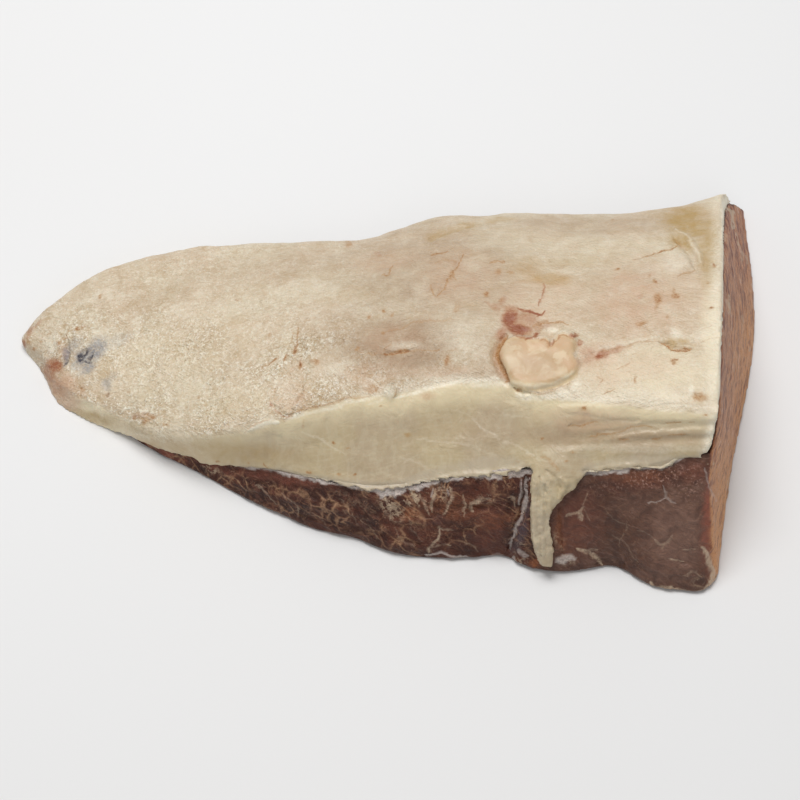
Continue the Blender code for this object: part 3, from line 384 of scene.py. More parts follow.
def in_picture(points):
    """Where points are seen from the front camera, in pixels of the picture."""
    eye, back, right, up = camera_frame()
    rays = points - eye
    reach = PICTURE * CAMERA_LENS / CAMERA_SENSOR / -(rays @ back)
    return np.column_stack([PICTURE / 2 + rays @ right * reach, PICTURE / 2 - rays @ up * reach])


def wobble(points, size, seed, octaves=2):
    """Smooth noise from -1 to 1 whose swells are about size metres wide."""
    total = np.zeros(len(points))
    for octave in range(octaves):
        scaled = points * (2**octave / size) + seed
        total += np.array([noise.noise(place) for place in scaled]) / 2**octave
    return total


def unsettled(places, seen):
    """Picture places pushed about by noise, so that marks drawn over them get uneven edges."""
    broad = np.column_stack([wobble(places, 0.006, seed) for seed in (21.0, 47.0)])
    fine = np.column_stack([wobble(places, 0.0016, seed, 1) for seed in (33.0, 59.0)])
    return seen + 2.2 * broad + 1.0 * fine


def spot(seen, x, y, half_width, half_height, turn):
    """1 in the middle of a soft ellipse of the picture, falling to 0 outside it."""
    angle = math.radians(turn)
    dx, dy = seen[:, 0] - x, seen[:, 1] - y
    along = (dx * math.cos(angle) + dy * math.sin(angle)) / half_width
    across = (dy * math.cos(angle) - dx * math.sin(angle)) / half_height
    return smoothstep((1.45 - np.hypot(along, across)) / 1.1)


def curved(points, steps=4):
    """A curve through the points of a broken line."""
    knots = np.array(points, float)
    knots = np.vstack([2 * knots[0] - knots[1], knots, 2 * knots[-1] - knots[-2]])
    line = []
    for a, b, c, d in zip(knots, knots[1:], knots[2:], knots[3:]):
        for t in np.arange(steps) / steps:
            line.append(b + t * ((c - a) + t * ((2 * a - 5 * b + 4 * c - d) + t * (3 * b - a - 3 * c + d))) / 2)
    return np.array([*line, knots[-2]])


def beside(seen, line):
    """The distance to a line of the picture, and how far along the line the nearest place is, from 0 to 1."""
    lengths = np.linalg.norm(np.diff(line, axis=0), axis=1)
    started = np.concatenate([[0], np.cumsum(lengths)])
    nearest = np.full(len(seen), np.inf)
    share = np.zeros(len(seen))
    for start, end, length, before in zip(line, line[1:], lengths, started):
        along = clamp01(((seen - start) @ (end - start)) / length**2)
        distance = np.linalg.norm(seen - start - along[:, None] * (end - start), axis=1)
        closer = distance < nearest
        nearest[closer] = distance[closer]
        share[closer] = (before + along[closer] * length) / started[-1]
    return nearest, share


def stroke(seen, points, width):
    """1 on a curved line of the picture, falling to 0 beside it, with thin ends."""
    nearest, share = beside(seen, curved(points))
    taper = 0.35 + 0.65 * np.sqrt(np.sin(math.pi * share).clip(0))
    return smoothstep(1.5 - 2 * nearest / (width * taper))


def painted(seen, spots=(), strokes=()):
    """The strongest of the marks at each place."""
    mark = np.zeros(len(seen))
    for *shape, strength in spots:
        mark = np.maximum(mark, strength * spot(seen, *shape))
    for points, width, strength in strokes:
        mark = np.maximum(mark, strength * stroke(seen, points, width))
    return mark


def height_along(seen, line):
    """The height of a line of the picture over each place's x."""
    xs, ys = np.array(line, float).T
    return np.interp(seen[:, 0], xs, ys)


def deselect_all():
    for item in bpy.context.selected_objects:
        item.select_set(False)


def only(item):
    """Makes one object the selected and active one."""
    deselect_all()
    item.select_set(True)
    bpy.context.view_layer.objects.active = item


def read_vectors(item, field):
    vectors = np.empty(len(item.data.vertices) * 3, np.float32)
    item.data.vertices.foreach_get(field, vectors)
    return vectors.reshape(-1, 3).astype(float)


def write_places(item, places):
    item.data.vertices.foreach_set("co", places.astype(np.float32).ravel())
    item.data.update()


def write_attribute(item, name, values):
    attribute = item.data.attributes.new(name, "FLOAT", "POINT")
    attribute.data.foreach_set("value", clamp01(values).astype(np.float32))


def add_modifier(item, kind, **settings):
    """Adds a modifier, sets it and applies it."""
    only(item)
    bpy.ops.object.modifier_add(type=kind)
    modifier = item.modifiers[-1]
    for name, value in settings.items():
        setattr(modifier, name, value)
    bpy.ops.object.modifier_apply(modifier=modifier.name)


def edit(item):
    only(item)
    bpy.ops.object.mode_set(mode="EDIT")


def select_vertices(item, chosen):
    """Selects the chosen vertices, and the faces whose corners are all chosen, in edit mode."""
    edit(item)
    bpy.ops.mesh.select_mode(type="VERT")
    bpy.ops.mesh.select_all(action="DESELECT")
    bpy.ops.object.mode_set(mode="OBJECT")
    item.data.vertices.foreach_set("select", chosen)
    edit(item)


def to_triangles():
    """Turns the faces of the mesh in edit mode into triangles, and leaves edit mode."""
    bpy.ops.mesh.select_all(action="SELECT")
    bpy.ops.mesh.quads_convert_to_tris(quad_method="BEAUTY", ngon_method="BEAUTY")
    bpy.ops.object.mode_set(mode="OBJECT")


def rounded_copy(node, name, sharpness, voxel):
    """A fine even mesh of a CAD node, without its facets but with its sharp edges."""
    item = frame["nodes"][node].copy()
    item.data = frame["nodes"][node].data.copy()
    item.name = name
    item.data.name = name
    item.parent = None
    for key in list(item.keys()):
        del item[key]
    bpy.context.scene.collection.objects.link(item)
    item.data.materials.clear()
    edit(item)
    bpy.ops.mesh.select_all(action="SELECT")
    bpy.ops.mesh.remove_doubles(threshold=0.00001)
    bpy.ops.mesh.tris_convert_to_quads(face_threshold=math.radians(30), shape_threshold=math.radians(60))
    bpy.ops.mesh.select_all(action="DESELECT")
    bpy.ops.mesh.select_mode(type="EDGE")
    bpy.ops.mesh.edges_select_sharp(sharpness=math.radians(sharpness))
    bpy.ops.transform.edge_crease(value=1.0)
    bpy.ops.object.mode_set(mode="OBJECT")
    add_modifier(item, "SUBSURF", levels=2)
    add_modifier(item, "REMESH", mode="VOXEL", voxel_size=voxel)
    add_modifier(item, "SMOOTH", factor=0.5, iterations=4)
    return item


def tree_of(item):
    item.data.calc_loop_triangles()
    corners = [triangle.vertices[:] for triangle in item.data.loop_triangles]
    return BVHTree.FromPolygons([vertex.co for vertex in item.data.vertices], corners)


def nearest_on(places, node, reach):
    """The nearest places on a CAD node and their distances, with reach where nothing is so near."""
    tree = tree_of(frame["nodes"][node])
    found = places.copy()
    apart = np.full(len(places), reach)
    for index, place in enumerate(places.tolist()):
        near, _, _, distance = tree.find_nearest(place, reach)
        if near is not None:
            found[index] = near
            apart[index] = distance
    return found, apart


def soften_border(item, node, reach):
    """Smooths a piece where it comes near its neighbour."""
    apart = nearest_on(read_vectors(item, "co"), node, reach)[1]
    group = item.vertex_groups.new(name="border")
    for index in np.flatnonzero(apart < reach).tolist():
        group.add([index], float(smoothstep((reach - apart[index]) / (0.4 * reach))), "REPLACE")
    add_modifier(item, "SMOOTH", factor=0.5, iterations=20, vertex_group="border")
    item.vertex_groups.clear()


def reach_seam(item):
    """Draws the lower edge of the fat down the trimmed side of the lean, as far as the picture shows it."""
    tree = tree_of(frame["nodes"]["lean_meat"])
    eye, back, right, up = camera_frame()
    reach = PICTURE * CAMERA_LENS / CAMERA_SENSOR
    columns = np.arange(235, 715, 15)
    levels = np.interp(columns, *np.array(SEAM, float).T)
    slopes = []
    for x, level in zip(columns, levels):
        ends = []
        for y in (level + 2, level + 9):
            ray = Vector(right * (x - PICTURE / 2) + up * (PICTURE / 2 - y) - back * reach)
            ends.append(np.array(tree.ray_cast(Vector(eye), ray)[0]))
        slopes.append((ends[1] - ends[0]) / 7)
    places = read_vectors(item, "co")
    seen = in_picture(places)
    slopes = np.array(slopes)
    slope = np.column_stack([np.interp(seen[:, 0], columns, slopes[:, axis]) for axis in range(3)])
    shift = height_along(seen, SEAM_SHIFTS)
    weight = smoothstep((seen[:, 1] - height_along(seen, SEAM) + shift + 30) / 28)
    weight *= smoothstep((0.5 - read_vectors(item, "normal")[:, 1]) / 0.3) * (seen[:, 1] < height_along(seen, SEAM) + 30)
    write_places(item, places + slope * (shift * weight)[:, None])
    above = height_along(seen, SEAM) - in_picture(read_vectors(item, "co"))[:, 1]
    group = item.vertex_groups.new(name="lip")
    for index in np.flatnonzero((above > 2) & (above < 26) & (weight > 0) & (shift > 0)).tolist():
        group.add([index], float(smoothstep((above[index] - 2) / 4) * smoothstep((26 - above[index]) / 8)), "REPLACE")
    add_modifier(item, "SMOOTH", factor=0.5, iterations=25, vertex_group="lip")
    item.vertex_groups.clear()


def round_ridge(item):
    """Rounds the turn from the top to the trimmed side, but not the flap on it."""
    seen = in_picture(read_vectors(item, "co"))
    beside_ridge = np.abs(seen[:, 1] - height_along(seen, RIDGE))
    reach = 13 + 16 * smoothstep((260 - seen[:, 0]) / 60)
    weight = smoothstep((reach - beside_ridge) / 9) * smoothstep((seen[:, 0] - 40) / 30) * smoothstep((716 - seen[:, 0]) / 10)
    weight *= smoothstep((-2 - inwards(seen, FLAP)) / 4)
    weight *= facing_camera(item) > 0
    group = item.vertex_groups.new(name="ridge")
    for index in np.flatnonzero(weight > 0.01).tolist():
        group.add([index], float(weight[index]), "REPLACE")
    add_modifier(item, "SMOOTH", factor=0.5, iterations=40, vertex_group="ridge")
    group.remove(np.flatnonzero(seen[:, 0] > 235).tolist())
    add_modifier(item, "SMOOTH", factor=0.5, iterations=160, vertex_group="ridge")
    item.vertex_groups.clear()


def close_gap(item, node, reach, sink, spared=0.0):
    """Draws a piece into its neighbour where they meet, but less where it is spared, so that no slit shows."""
    places = read_vectors(item, "co")
    found, apart = nearest_on(places, node, reach)
    pull = smoothstep((reach - apart) / (0.75 * reach)) * (1 + sink / np.maximum(apart, 0.0001)) * (1 - spared)
    write_places(item, places + (found - places) * pull[:, None])


def thin_out(item, chosen, margin, ratio):
    """Thins the chosen part of a fine mesh, away from its border."""
    select_vertices(item, chosen)
    for _ in range(margin):
        bpy.ops.mesh.select_less()
    bpy.ops.mesh.decimate(ratio=ratio)
    to_triangles()
    drop_doubles(item)


def drop_doubles(item):
    """Deletes the pairs of triangles that lie on each other, which thinning can leave."""
    corners = np.empty(len(item.data.loops), np.int32)
    item.data.loops.foreach_get("vertex_index", corners)
    triples = np.sort(corners.reshape(-1, 3), axis=1)
    _, kinds, counts = np.unique(triples, axis=0, return_inverse=True, return_counts=True)
    edit(item)
    bpy.ops.mesh.select_mode(type="FACE")
    bpy.ops.mesh.select_all(action="DESELECT")
    bpy.ops.object.mode_set(mode="OBJECT")
    item.data.polygons.foreach_set("select", counts[kinds.ravel()] > 1)
    edit(item)
    bpy.ops.mesh.delete(type="FACE")
    bpy.ops.object.mode_set(mode="OBJECT")


def refine(item, spots, strokes, margin, largest=7):
    """Splits the triangles near the small spots and the thin strokes."""
    seen = in_picture(read_vectors(item, "co"))
    close = np.zeros(len(seen), bool)
    for x, y, half_width, half_height, _, _ in spots:
        if max(half_width, half_height) < largest:
            close |= np.hypot(seen[:, 0] - x, seen[:, 1] - y) < max(half_width, half_height) + margin
    for points, width, _ in strokes:
        if width < largest:
            close |= beside(seen, curved(points, 2))[0] < width / 2 + margin
    select_vertices(item, close & (facing_camera(item) > 0.1))
    bpy.ops.mesh.subdivide(number_cuts=1, ngon=False)
    to_triangles()


def facing_camera(item):
    """How squarely each vertex faces the front camera."""
    rays = camera_frame()[0] - read_vectors(item, "co")
    rays /= np.linalg.norm(rays, axis=1)[:, None]
    return np.einsum("ij,ij->i", rays, read_vectors(item, "normal"))


def inwards(seen, outline):
    """How far inside a closed outline of the picture each place is, below zero outside it."""
    line = curved([*outline, outline[0]])
    crossings = np.zeros(len(seen), int)
    for (start_x, start_y), (end_x, end_y) in zip(line, line[1:]):
        if start_y != end_y:
            level = (seen[:, 1] >= min(start_y, end_y)) & (seen[:, 1] < max(start_y, end_y))
            crossed = start_x + (seen[:, 1] - start_y) * (end_x - start_x) / (end_y - start_y)
            crossings += level & (crossed > seen[:, 0])
    return np.where(crossings % 2 == 1, 1, -1) * beside(seen, line)[0]


class Value:
    """A number that varies over a surface: a socket whose arithmetic adds Math nodes."""

    def __init__(self, finish, socket):
        self.finish = finish
        self.socket = socket

    def _math(self, operation, *operands, clamped=False):
        settings = {"operation": operation, "use_clamp": clamped}
        return self.finish.add("ShaderNodeMath", settings, dict(enumerate(operands)))

    def __add__(self, other):
        return self._math("ADD", self, other)

    def __sub__(self, other):
        return self._math("SUBTRACT", self, other)

    def __rsub__(self, other):
        return self._math("SUBTRACT", other, self)

    def __mul__(self, other):
        return self._math("MULTIPLY", self, other)

    __radd__ = __add__
    __rmul__ = __mul__

    def clamped(self):
        return self._math("ADD", self, 0.0, clamped=True)

    def highest(self, other):
        return self._math("MAXIMUM", self, other)

    def step(self, low, high):
        """0 below low and 1 above high, eased between them."""
        settings = {"interpolation_type": "SMOOTHSTEP", "clamp": True}
        return self.finish.add("ShaderNodeMapRange", settings, {0: self, 1: low, 2: high, 3: 0.0, 4: 1.0})

    def below(self, low, high):
        """1 below low and 0 above high, eased between them."""
        return 1 - self.step(low, high)

    def uneven(self, texture, amount):
        """A mask that is stronger and weaker with a texture."""
        return (self * ((texture - 0.5) * amount + 1)).clamped()


class Finish:
    """A material that is put together from nodes."""

    def __init__(self, name):
        self.material = bpy.data.materials.new(name)
        self.material.use_nodes = True
        self.tree = self.material.node_tree
        self.shader = self.tree.nodes["Principled BSDF"]
        self.place = self.add("ShaderNodeTexCoord", {}, {}, "Object")

    def plug(self, socket, value):
        if isinstance(value, Value):
            self.tree.links.new(value.socket, socket)
        else:
            socket.default_value = value

    def add(self, kind, settings, sockets, output=0):
        """Adds a node with its settings, then its sockets' values or links, and gives its output."""
        node = self.tree.nodes.new(kind)
        for name, value in settings.items():
            setattr(node, name, value)
        for name, value in sockets.items():
            self.plug(node.inputs[name], value)
        return Value(self, node.outputs[output])

    def mask(self, name):
        return self.add("ShaderNodeAttribute", {"attribute_name": name}, {}, "Fac")

    def stretched(self, scale, turn=(0.0, 0.0, 0.0), vector=None):
        """Coordinates scaled and turned for a texture."""
        sockets = {"Vector": vector or self.place, "Rotation": turn, "Scale": scale}
        return self.add("ShaderNodeMapping", {"vector_type": "TEXTURE"}, sockets)

    def warped(self, size, amount):
        """Object coordinates pushed about by noise."""
        push = self.add("ShaderNodeTexNoise", {}, {"Vector": self.place, "Scale": 1 / size, "Detail": 2.0}, "Color")
        centred = self.add("ShaderNodeVectorMath", {"operation": "SUBTRACT"}, {0: push, 1: (0.5, 0.5, 0.5)})
        scaled = self.add("ShaderNodeVectorMath", {"operation": "SCALE"}, {0: centred, "Scale": amount})
        return self.add("ShaderNodeVectorMath", {"operation": "ADD"}, {0: self.place, 1: scaled})

    def grain(self, size, detail=2.0, vector=None, roughness=0.5, distortion=0.0):
        """Cloudy noise from 0 to 1, with swells about size metres wide."""
        sockets = {"Vector": vector or self.place, "Scale": 1 / size, "Detail": detail}
        sockets |= {"Roughness": roughness, "Distortion": distortion}
        return self.add("ShaderNodeTexNoise", {}, sockets)

    def cells(self, vector):
        """Distance to the border of the nearest cell, for a network of veins."""
        return self.add("ShaderNodeTexVoronoi", {"feature": "DISTANCE_TO_EDGE"}, {"Vector": vector, "Scale": 1.0})

    def mix(self, share, first, second):
        """A blend of two colours."""
        return self.add("ShaderNodeMix", {"data_type": "RGBA"}, {0: share, 6: first, 7: second}, 2)

    def layers(self, colour, pairs):
        """Lays colours over one another, each with its share."""
        for share, over in pairs:
            colour = self.mix(share, colour, over)
        return colour

    def finish_with(self, colour, roughness, heights, **constants):
        """Links the colour, roughness and the bumps, which are (height, distance) pairs, and sets constants."""
        self.plug(self.shader.inputs["Base Color"], colour)
        self.plug(self.shader.inputs["Roughness"], roughness)
        normal = None
        for height, distance in heights:
            sockets = {"Height": height, "Distance": distance}
            if normal:
                sockets["Normal"] = normal
            normal = self.add("ShaderNodeBump", {}, sockets)
        self.plug(self.shader.inputs["Normal"], normal)
        for name, value in constants.items():
            self.shader.inputs[name.replace("_", " ")].default_value = value
        return self.material


def linear(red, green, blue):
    """A shown colour, from 0 to 255, as the linear colour that the shaders use."""
    shown = np.array([red, green, blue]) / 255
    values = np.where(shown <= 0.04045, shown / 12.92, ((shown + 0.055) / 1.055) ** 2.4)
    return (*values.tolist(), 1.0)


def fat_material(settings):
    """Cream fat: granular on the outer face, waxy where it was trimmed, with stains, and with painted light,
    highlights, glints and shade.
    """
    finish = Finish("beef_fat")
    names = ("trim", "crest_highlight", "flap", "grain", "pale", "yellow", "pink", "blood_and_shade", "brown", "grey", "black", "painted_shade", "painted_light", "edge", "turned", "front")
    trim, crest_highlight, flap, grain, pale, yellow, pink, blood_and_shade, brown, grey, black, painted_shade, painted_light, edge, turned, front = map(finish.mask, names)
    outer = (1 - trim) * (1 - flap)

    flow = finish.warped(0.05, 0.02)
    clouds = finish.grain(0.028)
    mottle = finish.grain(0.0075, 3.0, roughness=0.6, distortion=0.5)
    streaks = finish.grain(1.0, 3.0, finish.stretched((0.009, 0.0011, 0.003), (0, 0, math.radians(10)), flow), 0.55)
    threads = finish.grain(1.0, 2.0, finish.stretched((0.005, 0.0007, 0.002), (0, 0, math.radians(-28)), flow), 0.6)
    crumbs = finish.grain(0.0020, 3.0, roughness=0.65, distortion=0.8)
    specks = finish.grain(0.0008, 2.0, roughness=0.7)
    waxy = finish.grain(1.0, 2.0, finish.stretched((0.0022, 0.004, 0.014)))
    soft = finish.grain(0.006, 3.0, roughness=0.6, distortion=0.4)
    ragged = finish.grain(0.0013, 3.0, roughness=0.7, distortion=0.6)

    colour = finish.layers(settings.cream, [
        (clouds.step(0.38, 0.62) * 0.6, settings.rosy_cream),
        (mottle.step(0.50, 0.66) * 0.5, settings.tan),
        (mottle.below(0.34, 0.48) * 0.4, settings.light_cream),
        (streaks.step(0.53, 0.66) * 0.32, settings.light_cream),
        (streaks.below(0.34, 0.45) * 0.25, settings.tan),
        (threads.step(0.58, 0.68) * 0.35, settings.light_cream),
        (crumbs.step(0.53, 0.63) * grain * 0.95, settings.white_fat),
        (crumbs.below(0.36, 0.47) * grain * 0.65, linear(180, 150, 106)),
        # Painted glints: tiny near-white specks on the wet grain; the dark specks are painted shade between its crumbs
        (specks.step(0.57, 0.67) * (grain * 0.7 + 0.10), linear(252, 248, 238)),
        (specks.below(0.33, 0.43) * (grain * 0.5 + 0.08), linear(152, 122, 80)),
        (flap * 0.9, settings.flap),
        (flap * soft.step(0.44, 0.62) * 0.55, linear(204, 166, 124)),
        (flap * mottle.step(0.48, 0.64) * 0.5, linear(232, 214, 180)),
        (trim * 0.85, settings.trimmed),
        (trim * clouds.step(0.40, 0.60) * 0.5, linear(180, 161, 138)),
        (trim * streaks.step(0.50, 0.64) * 0.25, linear(206, 192, 160)),
        (trim * waxy.step(0.45, 0.62) * 0.25, linear(208, 195, 166)),
        (trim * mottle.step(0.52, 0.66) * 0.2, linear(168, 147, 112)),
        # Painted highlight: the trimmed side lighter just below the ridge, fading down the side
        (crest_highlight.uneven(soft, 1.5) * 0.85, linear(228, 212, 176)),
        # Painted highlight on the flap's front and round its rim
        (front * 0.7, linear(226, 205, 164)),
        # Painted light: the steep front of the left tip, which the lamps hardly reach, painted lighter
        (turned.uneven(soft, 1.0) * 0.85, linear(250, 236, 202)),
        # Painted shade: darker where the top turns from the light
        (painted_shade.uneven(soft, 2.0), linear(168, 142, 114)),
        # Painted light: lighter and creamier where the light falls full on the top, and on the fat's cut end
        (painted_light.uneven(soft, 2.0) * 0.8, linear(232, 218, 188)),
        (yellow.uneven(soft, 2.5) * 0.9, settings.olive),
        (pink.uneven(soft, 2.5), settings.pink),
        # White fat, with painted highlight along the ridge and painted light on the fat's cut end
        (pale.uneven(ragged, 3.0) * 0.85, settings.white_fat),
        (grey.uneven(ragged, 3.0) * 0.9, linear(142, 142, 146)),
        (black.uneven(ragged, 3.5) * 0.9, linear(58, 54, 64)),
        # Blood stains, and painted shade in the crevices round the flap
        (blood_and_shade.step(0.0, 0.8) * 0.4, linear(206, 146, 92)),
        (blood_and_shade.uneven(soft * 0.5 + ragged * 0.5, 4.0) * 0.9, settings.blood_and_shade),
        (blood_and_shade.step(0.8, 1.0) * 0.4, linear(140, 76, 48)),
        # Brown spots, and painted shade round the flap
        (brown.step(0.0, 0.6) * 0.3, linear(204, 168, 112)),
        (brown.uneven(ragged, 4.5) * 0.8, settings.brown),
        (brown.step(0.75, 1.0) * ragged.step(0.44, 0.56) * 0.6, linear(118, 72, 38)),
        # Painted shade: greyer where the fat meets the lean
        (edge * (0.1 + ragged * 0.5), linear(192, 180, 162)),
    ])
    roughness = 0.44 - trim * 0.02 + specks * grain * 0.12 - blood_and_shade * 0.06
    heights = [
        ((mottle - 0.5) * (1 - flap * 0.7), 0.0008),
        ((crumbs - 0.5) * (0.15 + grain * 0.7) * outer, 0.0009),
        ((specks - 0.5) * (0.12 + grain * 0.7) * (0.25 + outer * 0.75), 0.0004),
        ((streaks + threads - 1.0) * outer, 0.0004),
    ]
    return finish.finish_with(
        colour, roughness, heights, Subsurface_Weight=0.10, Subsurface_Radius=(1.0, 0.6, 0.4),
        Subsurface_Scale=0.002, Specular_IOR_Level=0.5,
    )


def lean_material(settings):
    """Raw beef: a dark trimmed side with fat between its fibres, a smoother muscle beside it, and a paler cut."""
    finish = Finish("beef_lean")
    names = ("cut", "tan", "right", "netted", "base", "silver", "marble", "lace", "bruise", "rust", "red", "dim", "dots", "haze_and_sheen")
    cut, tan, right, netted, base, silver, marble, lace, bruise, rust, red, dim, dots, haze_and_sheen = map(finish.mask, names)

    flow = finish.warped(0.012, 0.008)
    clouds = finish.grain(0.015, 3.0)
    patches = finish.grain(0.009, 2.0)
    mottle = finish.grain(0.0042, 3.0, distortion=0.6)
    fine = finish.grain(0.0011, 3.0, roughness=0.65)
    ragged = finish.grain(0.0015, 3.0, roughness=0.7, distortion=0.5)
    fibres = finish.grain(1.0, 3.0, finish.stretched((0.009, 0.0014, 0.0014), (0, math.radians(30), 0), flow), 0.6)
    along_cut = finish.grain(1.0, 3.0, finish.stretched((0.003, 0.010, 0.0019)), 0.7)
    wide_cells = finish.cells(finish.stretched((0.0090, 0.0046, 0.0044), (0, math.radians(34), 0), flow))
    small_cells = finish.cells(finish.stretched((0.0046, 0.0026, 0.0024), (0, math.radians(26), 0), flow))

    fray = (fine - 0.5) * 0.30 + (mottle - 0.5) * 0.16
    lacework = (ragged * 0.5 + mottle * 0.5).step(0.49, 0.57)
    veins = (wide_cells + fray).below(-0.03, 0.12) * patches.step(0.40, 0.60)
    threads = (small_cells + fray).below(-0.02, 0.11) * mottle.step(0.44, 0.60)
    flecks = fine.step(0.56, 0.68) * mottle.step(0.50, 0.62)
    netting = netted * (1 - cut)
    cut_colour = finish.layers(settings.cut_dark, [
        (clouds.step(0.40, 0.62) * 0.4, linear(166, 114, 88)),
        (along_cut.step(0.42, 0.58), settings.cut_light),
        (tan.uneven(mottle, 1.5) * 0.7, linear(230, 170, 114)),
        (along_cut.below(0.38, 0.46) * 0.6, linear(112, 60, 42)),
        (along_cut.step(0.60, 0.66) * mottle.step(0.46, 0.54) * 0.6, linear(214, 190, 176)),
        (fine.below(0.34, 0.46) * 0.4, linear(116, 72, 54)),
    ])
    colour = finish.layers(settings.dark, [
        (clouds.step(0.35, 0.65), settings.red_brown),
        (wide_cells.step(0.18, 0.42) * netting * 0.55, linear(56, 27, 20)),
        (fibres.step(0.50, 0.68) * 0.5, linear(116, 72, 56)),
        (fibres.below(0.32, 0.46) * 0.4, linear(50, 24, 18)),
        (fine.step(0.55, 0.70) * 0.25, linear(128, 86, 70)),
        ((right * (0.35 + clouds * 0.9)).clamped(), settings.grey_brown),
        (right * fibres.step(0.50, 0.68) * 0.4, linear(134, 104, 90)),
        (right * mottle.below(0.36, 0.50) * 0.45, linear(66, 43, 36)),
        (dim.uneven(mottle, 2.0) * 0.8, linear(58, 31, 24)),
        # Pale veil of membrane on the smoother muscle, and painted sheen
        (haze_and_sheen.uneven(mottle, 2.0), linear(136, 104, 90)),
        (base.uneven(clouds, 2.0) * 0.7, linear(126, 76, 64)),
        (red.uneven(mottle, 2.0), settings.red_edge),
        (cut, cut_colour),
        (veins * netting * 0.75, settings.marbling),
        (threads * netting * 0.6, linear(142, 100, 74)),
        (flecks * netting * 0.45, linear(176, 142, 116)),
        (veins * base * 0.5, linear(188, 150, 132)),
        (threads * right * 0.15, settings.marbling),
        (red.uneven(mottle, 2.0) * (1 - cut * 0.3) * 0.6, settings.red_edge),
        (rust.uneven(ragged, 5.0) * 0.85, linear(150, 90, 56)),
        (bruise.uneven(ragged, 2.5) * 0.85, linear(88, 74, 80)),
        ((dots * fine.step(0.54, 0.64)).clamped() * 0.7, linear(184, 146, 130)),
        (dots * fine.below(0.34, 0.44) * 0.6, linear(52, 28, 26)),
        (lace * lacework * 0.85, linear(200, 176, 148)),
        (marble.uneven(ragged * 0.6 + mottle * 0.4, 5.0) * 0.8, linear(202, 178, 152)),
        (silver.uneven(ragged, 1.6) * 0.85, settings.silver),
    ])
    roughness = 0.42 + fine * 0.12 - silver * 0.08
    heights = [
        ((fibres - 0.5) * (1 - cut) * (1 - right * 0.6), 0.0012),
        ((mottle - 0.5) * (1 - cut * 0.5), 0.0010),
        ((along_cut - 0.5) * cut, 0.0008),
        (fine * 0.6 + veins * netting * 0.5, 0.0006),
    ]
    return finish.finish_with(
        colour, roughness, heights, Subsurface_Weight=0.04, Subsurface_Radius=(1.0, 0.3, 0.2),
        Subsurface_Scale=0.0015, Specular_IOR_Level=0.32,
    )


class FatSettings(PropertyGroup):
    """Sizes and colours of the fat cap."""

    voxel: FloatProperty(name="Fineness", description="Width of the faces", default=0.00098, subtype="DISTANCE", unit="LENGTH")
    swell: FloatProperty(name="Swells", description="Height of the slow swells", default=0.0009, subtype="DISTANCE", unit="LENGTH")
    lump: FloatProperty(name="Lumps", description="Height of the small lumps", default=0.0004, subtype="DISTANCE", unit="LENGTH")
    cream: FloatVectorProperty(name="Cream", description="Main colour", size=4, subtype="COLOR", default=linear(210, 194, 167))
    light_cream: FloatVectorProperty(name="Light cream", description="Lighter fibres", size=4, subtype="COLOR", default=linear(228, 216, 194))
    rosy_cream: FloatVectorProperty(name="Rosy cream", description="Warm clouds", size=4, subtype="COLOR", default=linear(206, 183, 156))
    tan: FloatVectorProperty(name="Tan", description="Streaks and gaps", size=4, subtype="COLOR", default=linear(188, 164, 130))
    trimmed: FloatVectorProperty(name="Trimmed", description="The trimmed side", size=4, subtype="COLOR", default=linear(188, 169, 132))
    flap: FloatVectorProperty(name="Flap", description="The smooth folded flap", size=4, subtype="COLOR", default=linear(200, 168, 130))
    olive: FloatVectorProperty(name="Olive", description="Yellow stains", size=4, subtype="COLOR", default=linear(178, 146, 88))
    pink: FloatVectorProperty(name="Pink", description="Rosy stains", size=4, subtype="COLOR", default=linear(206, 168, 138))
    white_fat: FloatVectorProperty(name="White fat", description="Fresh fat", size=4, subtype="COLOR", default=linear(240, 231, 210))
    blood_and_shade: FloatVectorProperty(name="Blood", description="Blood stains", size=4, subtype="COLOR", default=linear(146, 78, 42))
    brown: FloatVectorProperty(name="Brown", description="Brown spots", size=4, subtype="COLOR", default=linear(156, 98, 40))


class LeanSettings(PropertyGroup):
    """Sizes and colours of the lean."""

    voxel: FloatProperty(name="Fineness", description="Width of the faces", default=0.0009, subtype="DISTANCE", unit="LENGTH")
    lump: FloatProperty(name="Lumps", description="Height of the lumps", default=0.0009, subtype="DISTANCE", unit="LENGTH")
    dark: FloatVectorProperty(name="Dark", description="Dark muscle", size=4, subtype="COLOR", default=linear(57, 28, 17))
    red_brown: FloatVectorProperty(name="Red-brown", description="Lighter muscle", size=4, subtype="COLOR", default=linear(86, 43, 27))
    grey_brown: FloatVectorProperty(name="Grey-brown", description="The smoother muscle", size=4, subtype="COLOR", default=linear(94, 63, 49))
    cut_dark: FloatVectorProperty(name="Cut, dark", description="Darker fibres", size=4, subtype="COLOR", default=linear(142, 88, 66))
    cut_light: FloatVectorProperty(name="Cut, light", description="Lighter fibres", size=4, subtype="COLOR", default=linear(190, 134, 98))
    marbling: FloatVectorProperty(name="Marbling", description="Fat between fibres", size=4, subtype="COLOR", default=linear(174, 134, 102))
    silver: FloatVectorProperty(name="Silver skin", description="Membranes", size=4, subtype="COLOR", default=linear(212, 200, 192))
    red_edge: FloatVectorProperty(name="Red edge", description="Fresh edge", size=4, subtype="COLOR", default=linear(150, 84, 66))


class StageSettings(PropertyGroup):
    """The floor and the lights."""

    floor_shade: FloatProperty(name="Floor", description="How light the floor is", default=0.82, min=0, max=1, subtype="FACTOR")
    key_power: FloatProperty(name="Key", description="Power of the overhead light", default=14.2, unit="POWER")
    fill_power: FloatProperty(name="Fill", description="Power of the front light", default=1.6, unit="POWER")
    sky: FloatProperty(name="Sky", description="Strength of the even light", default=0.36, min=0, max=2)


def finish_piece(item, node, material):
    """Gives a piece its material and its place in the frame's table."""
    item.data.materials.append(material)
    only(item)
    bpy.ops.object.shade_smooth()
    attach(item, "root")
    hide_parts(node)


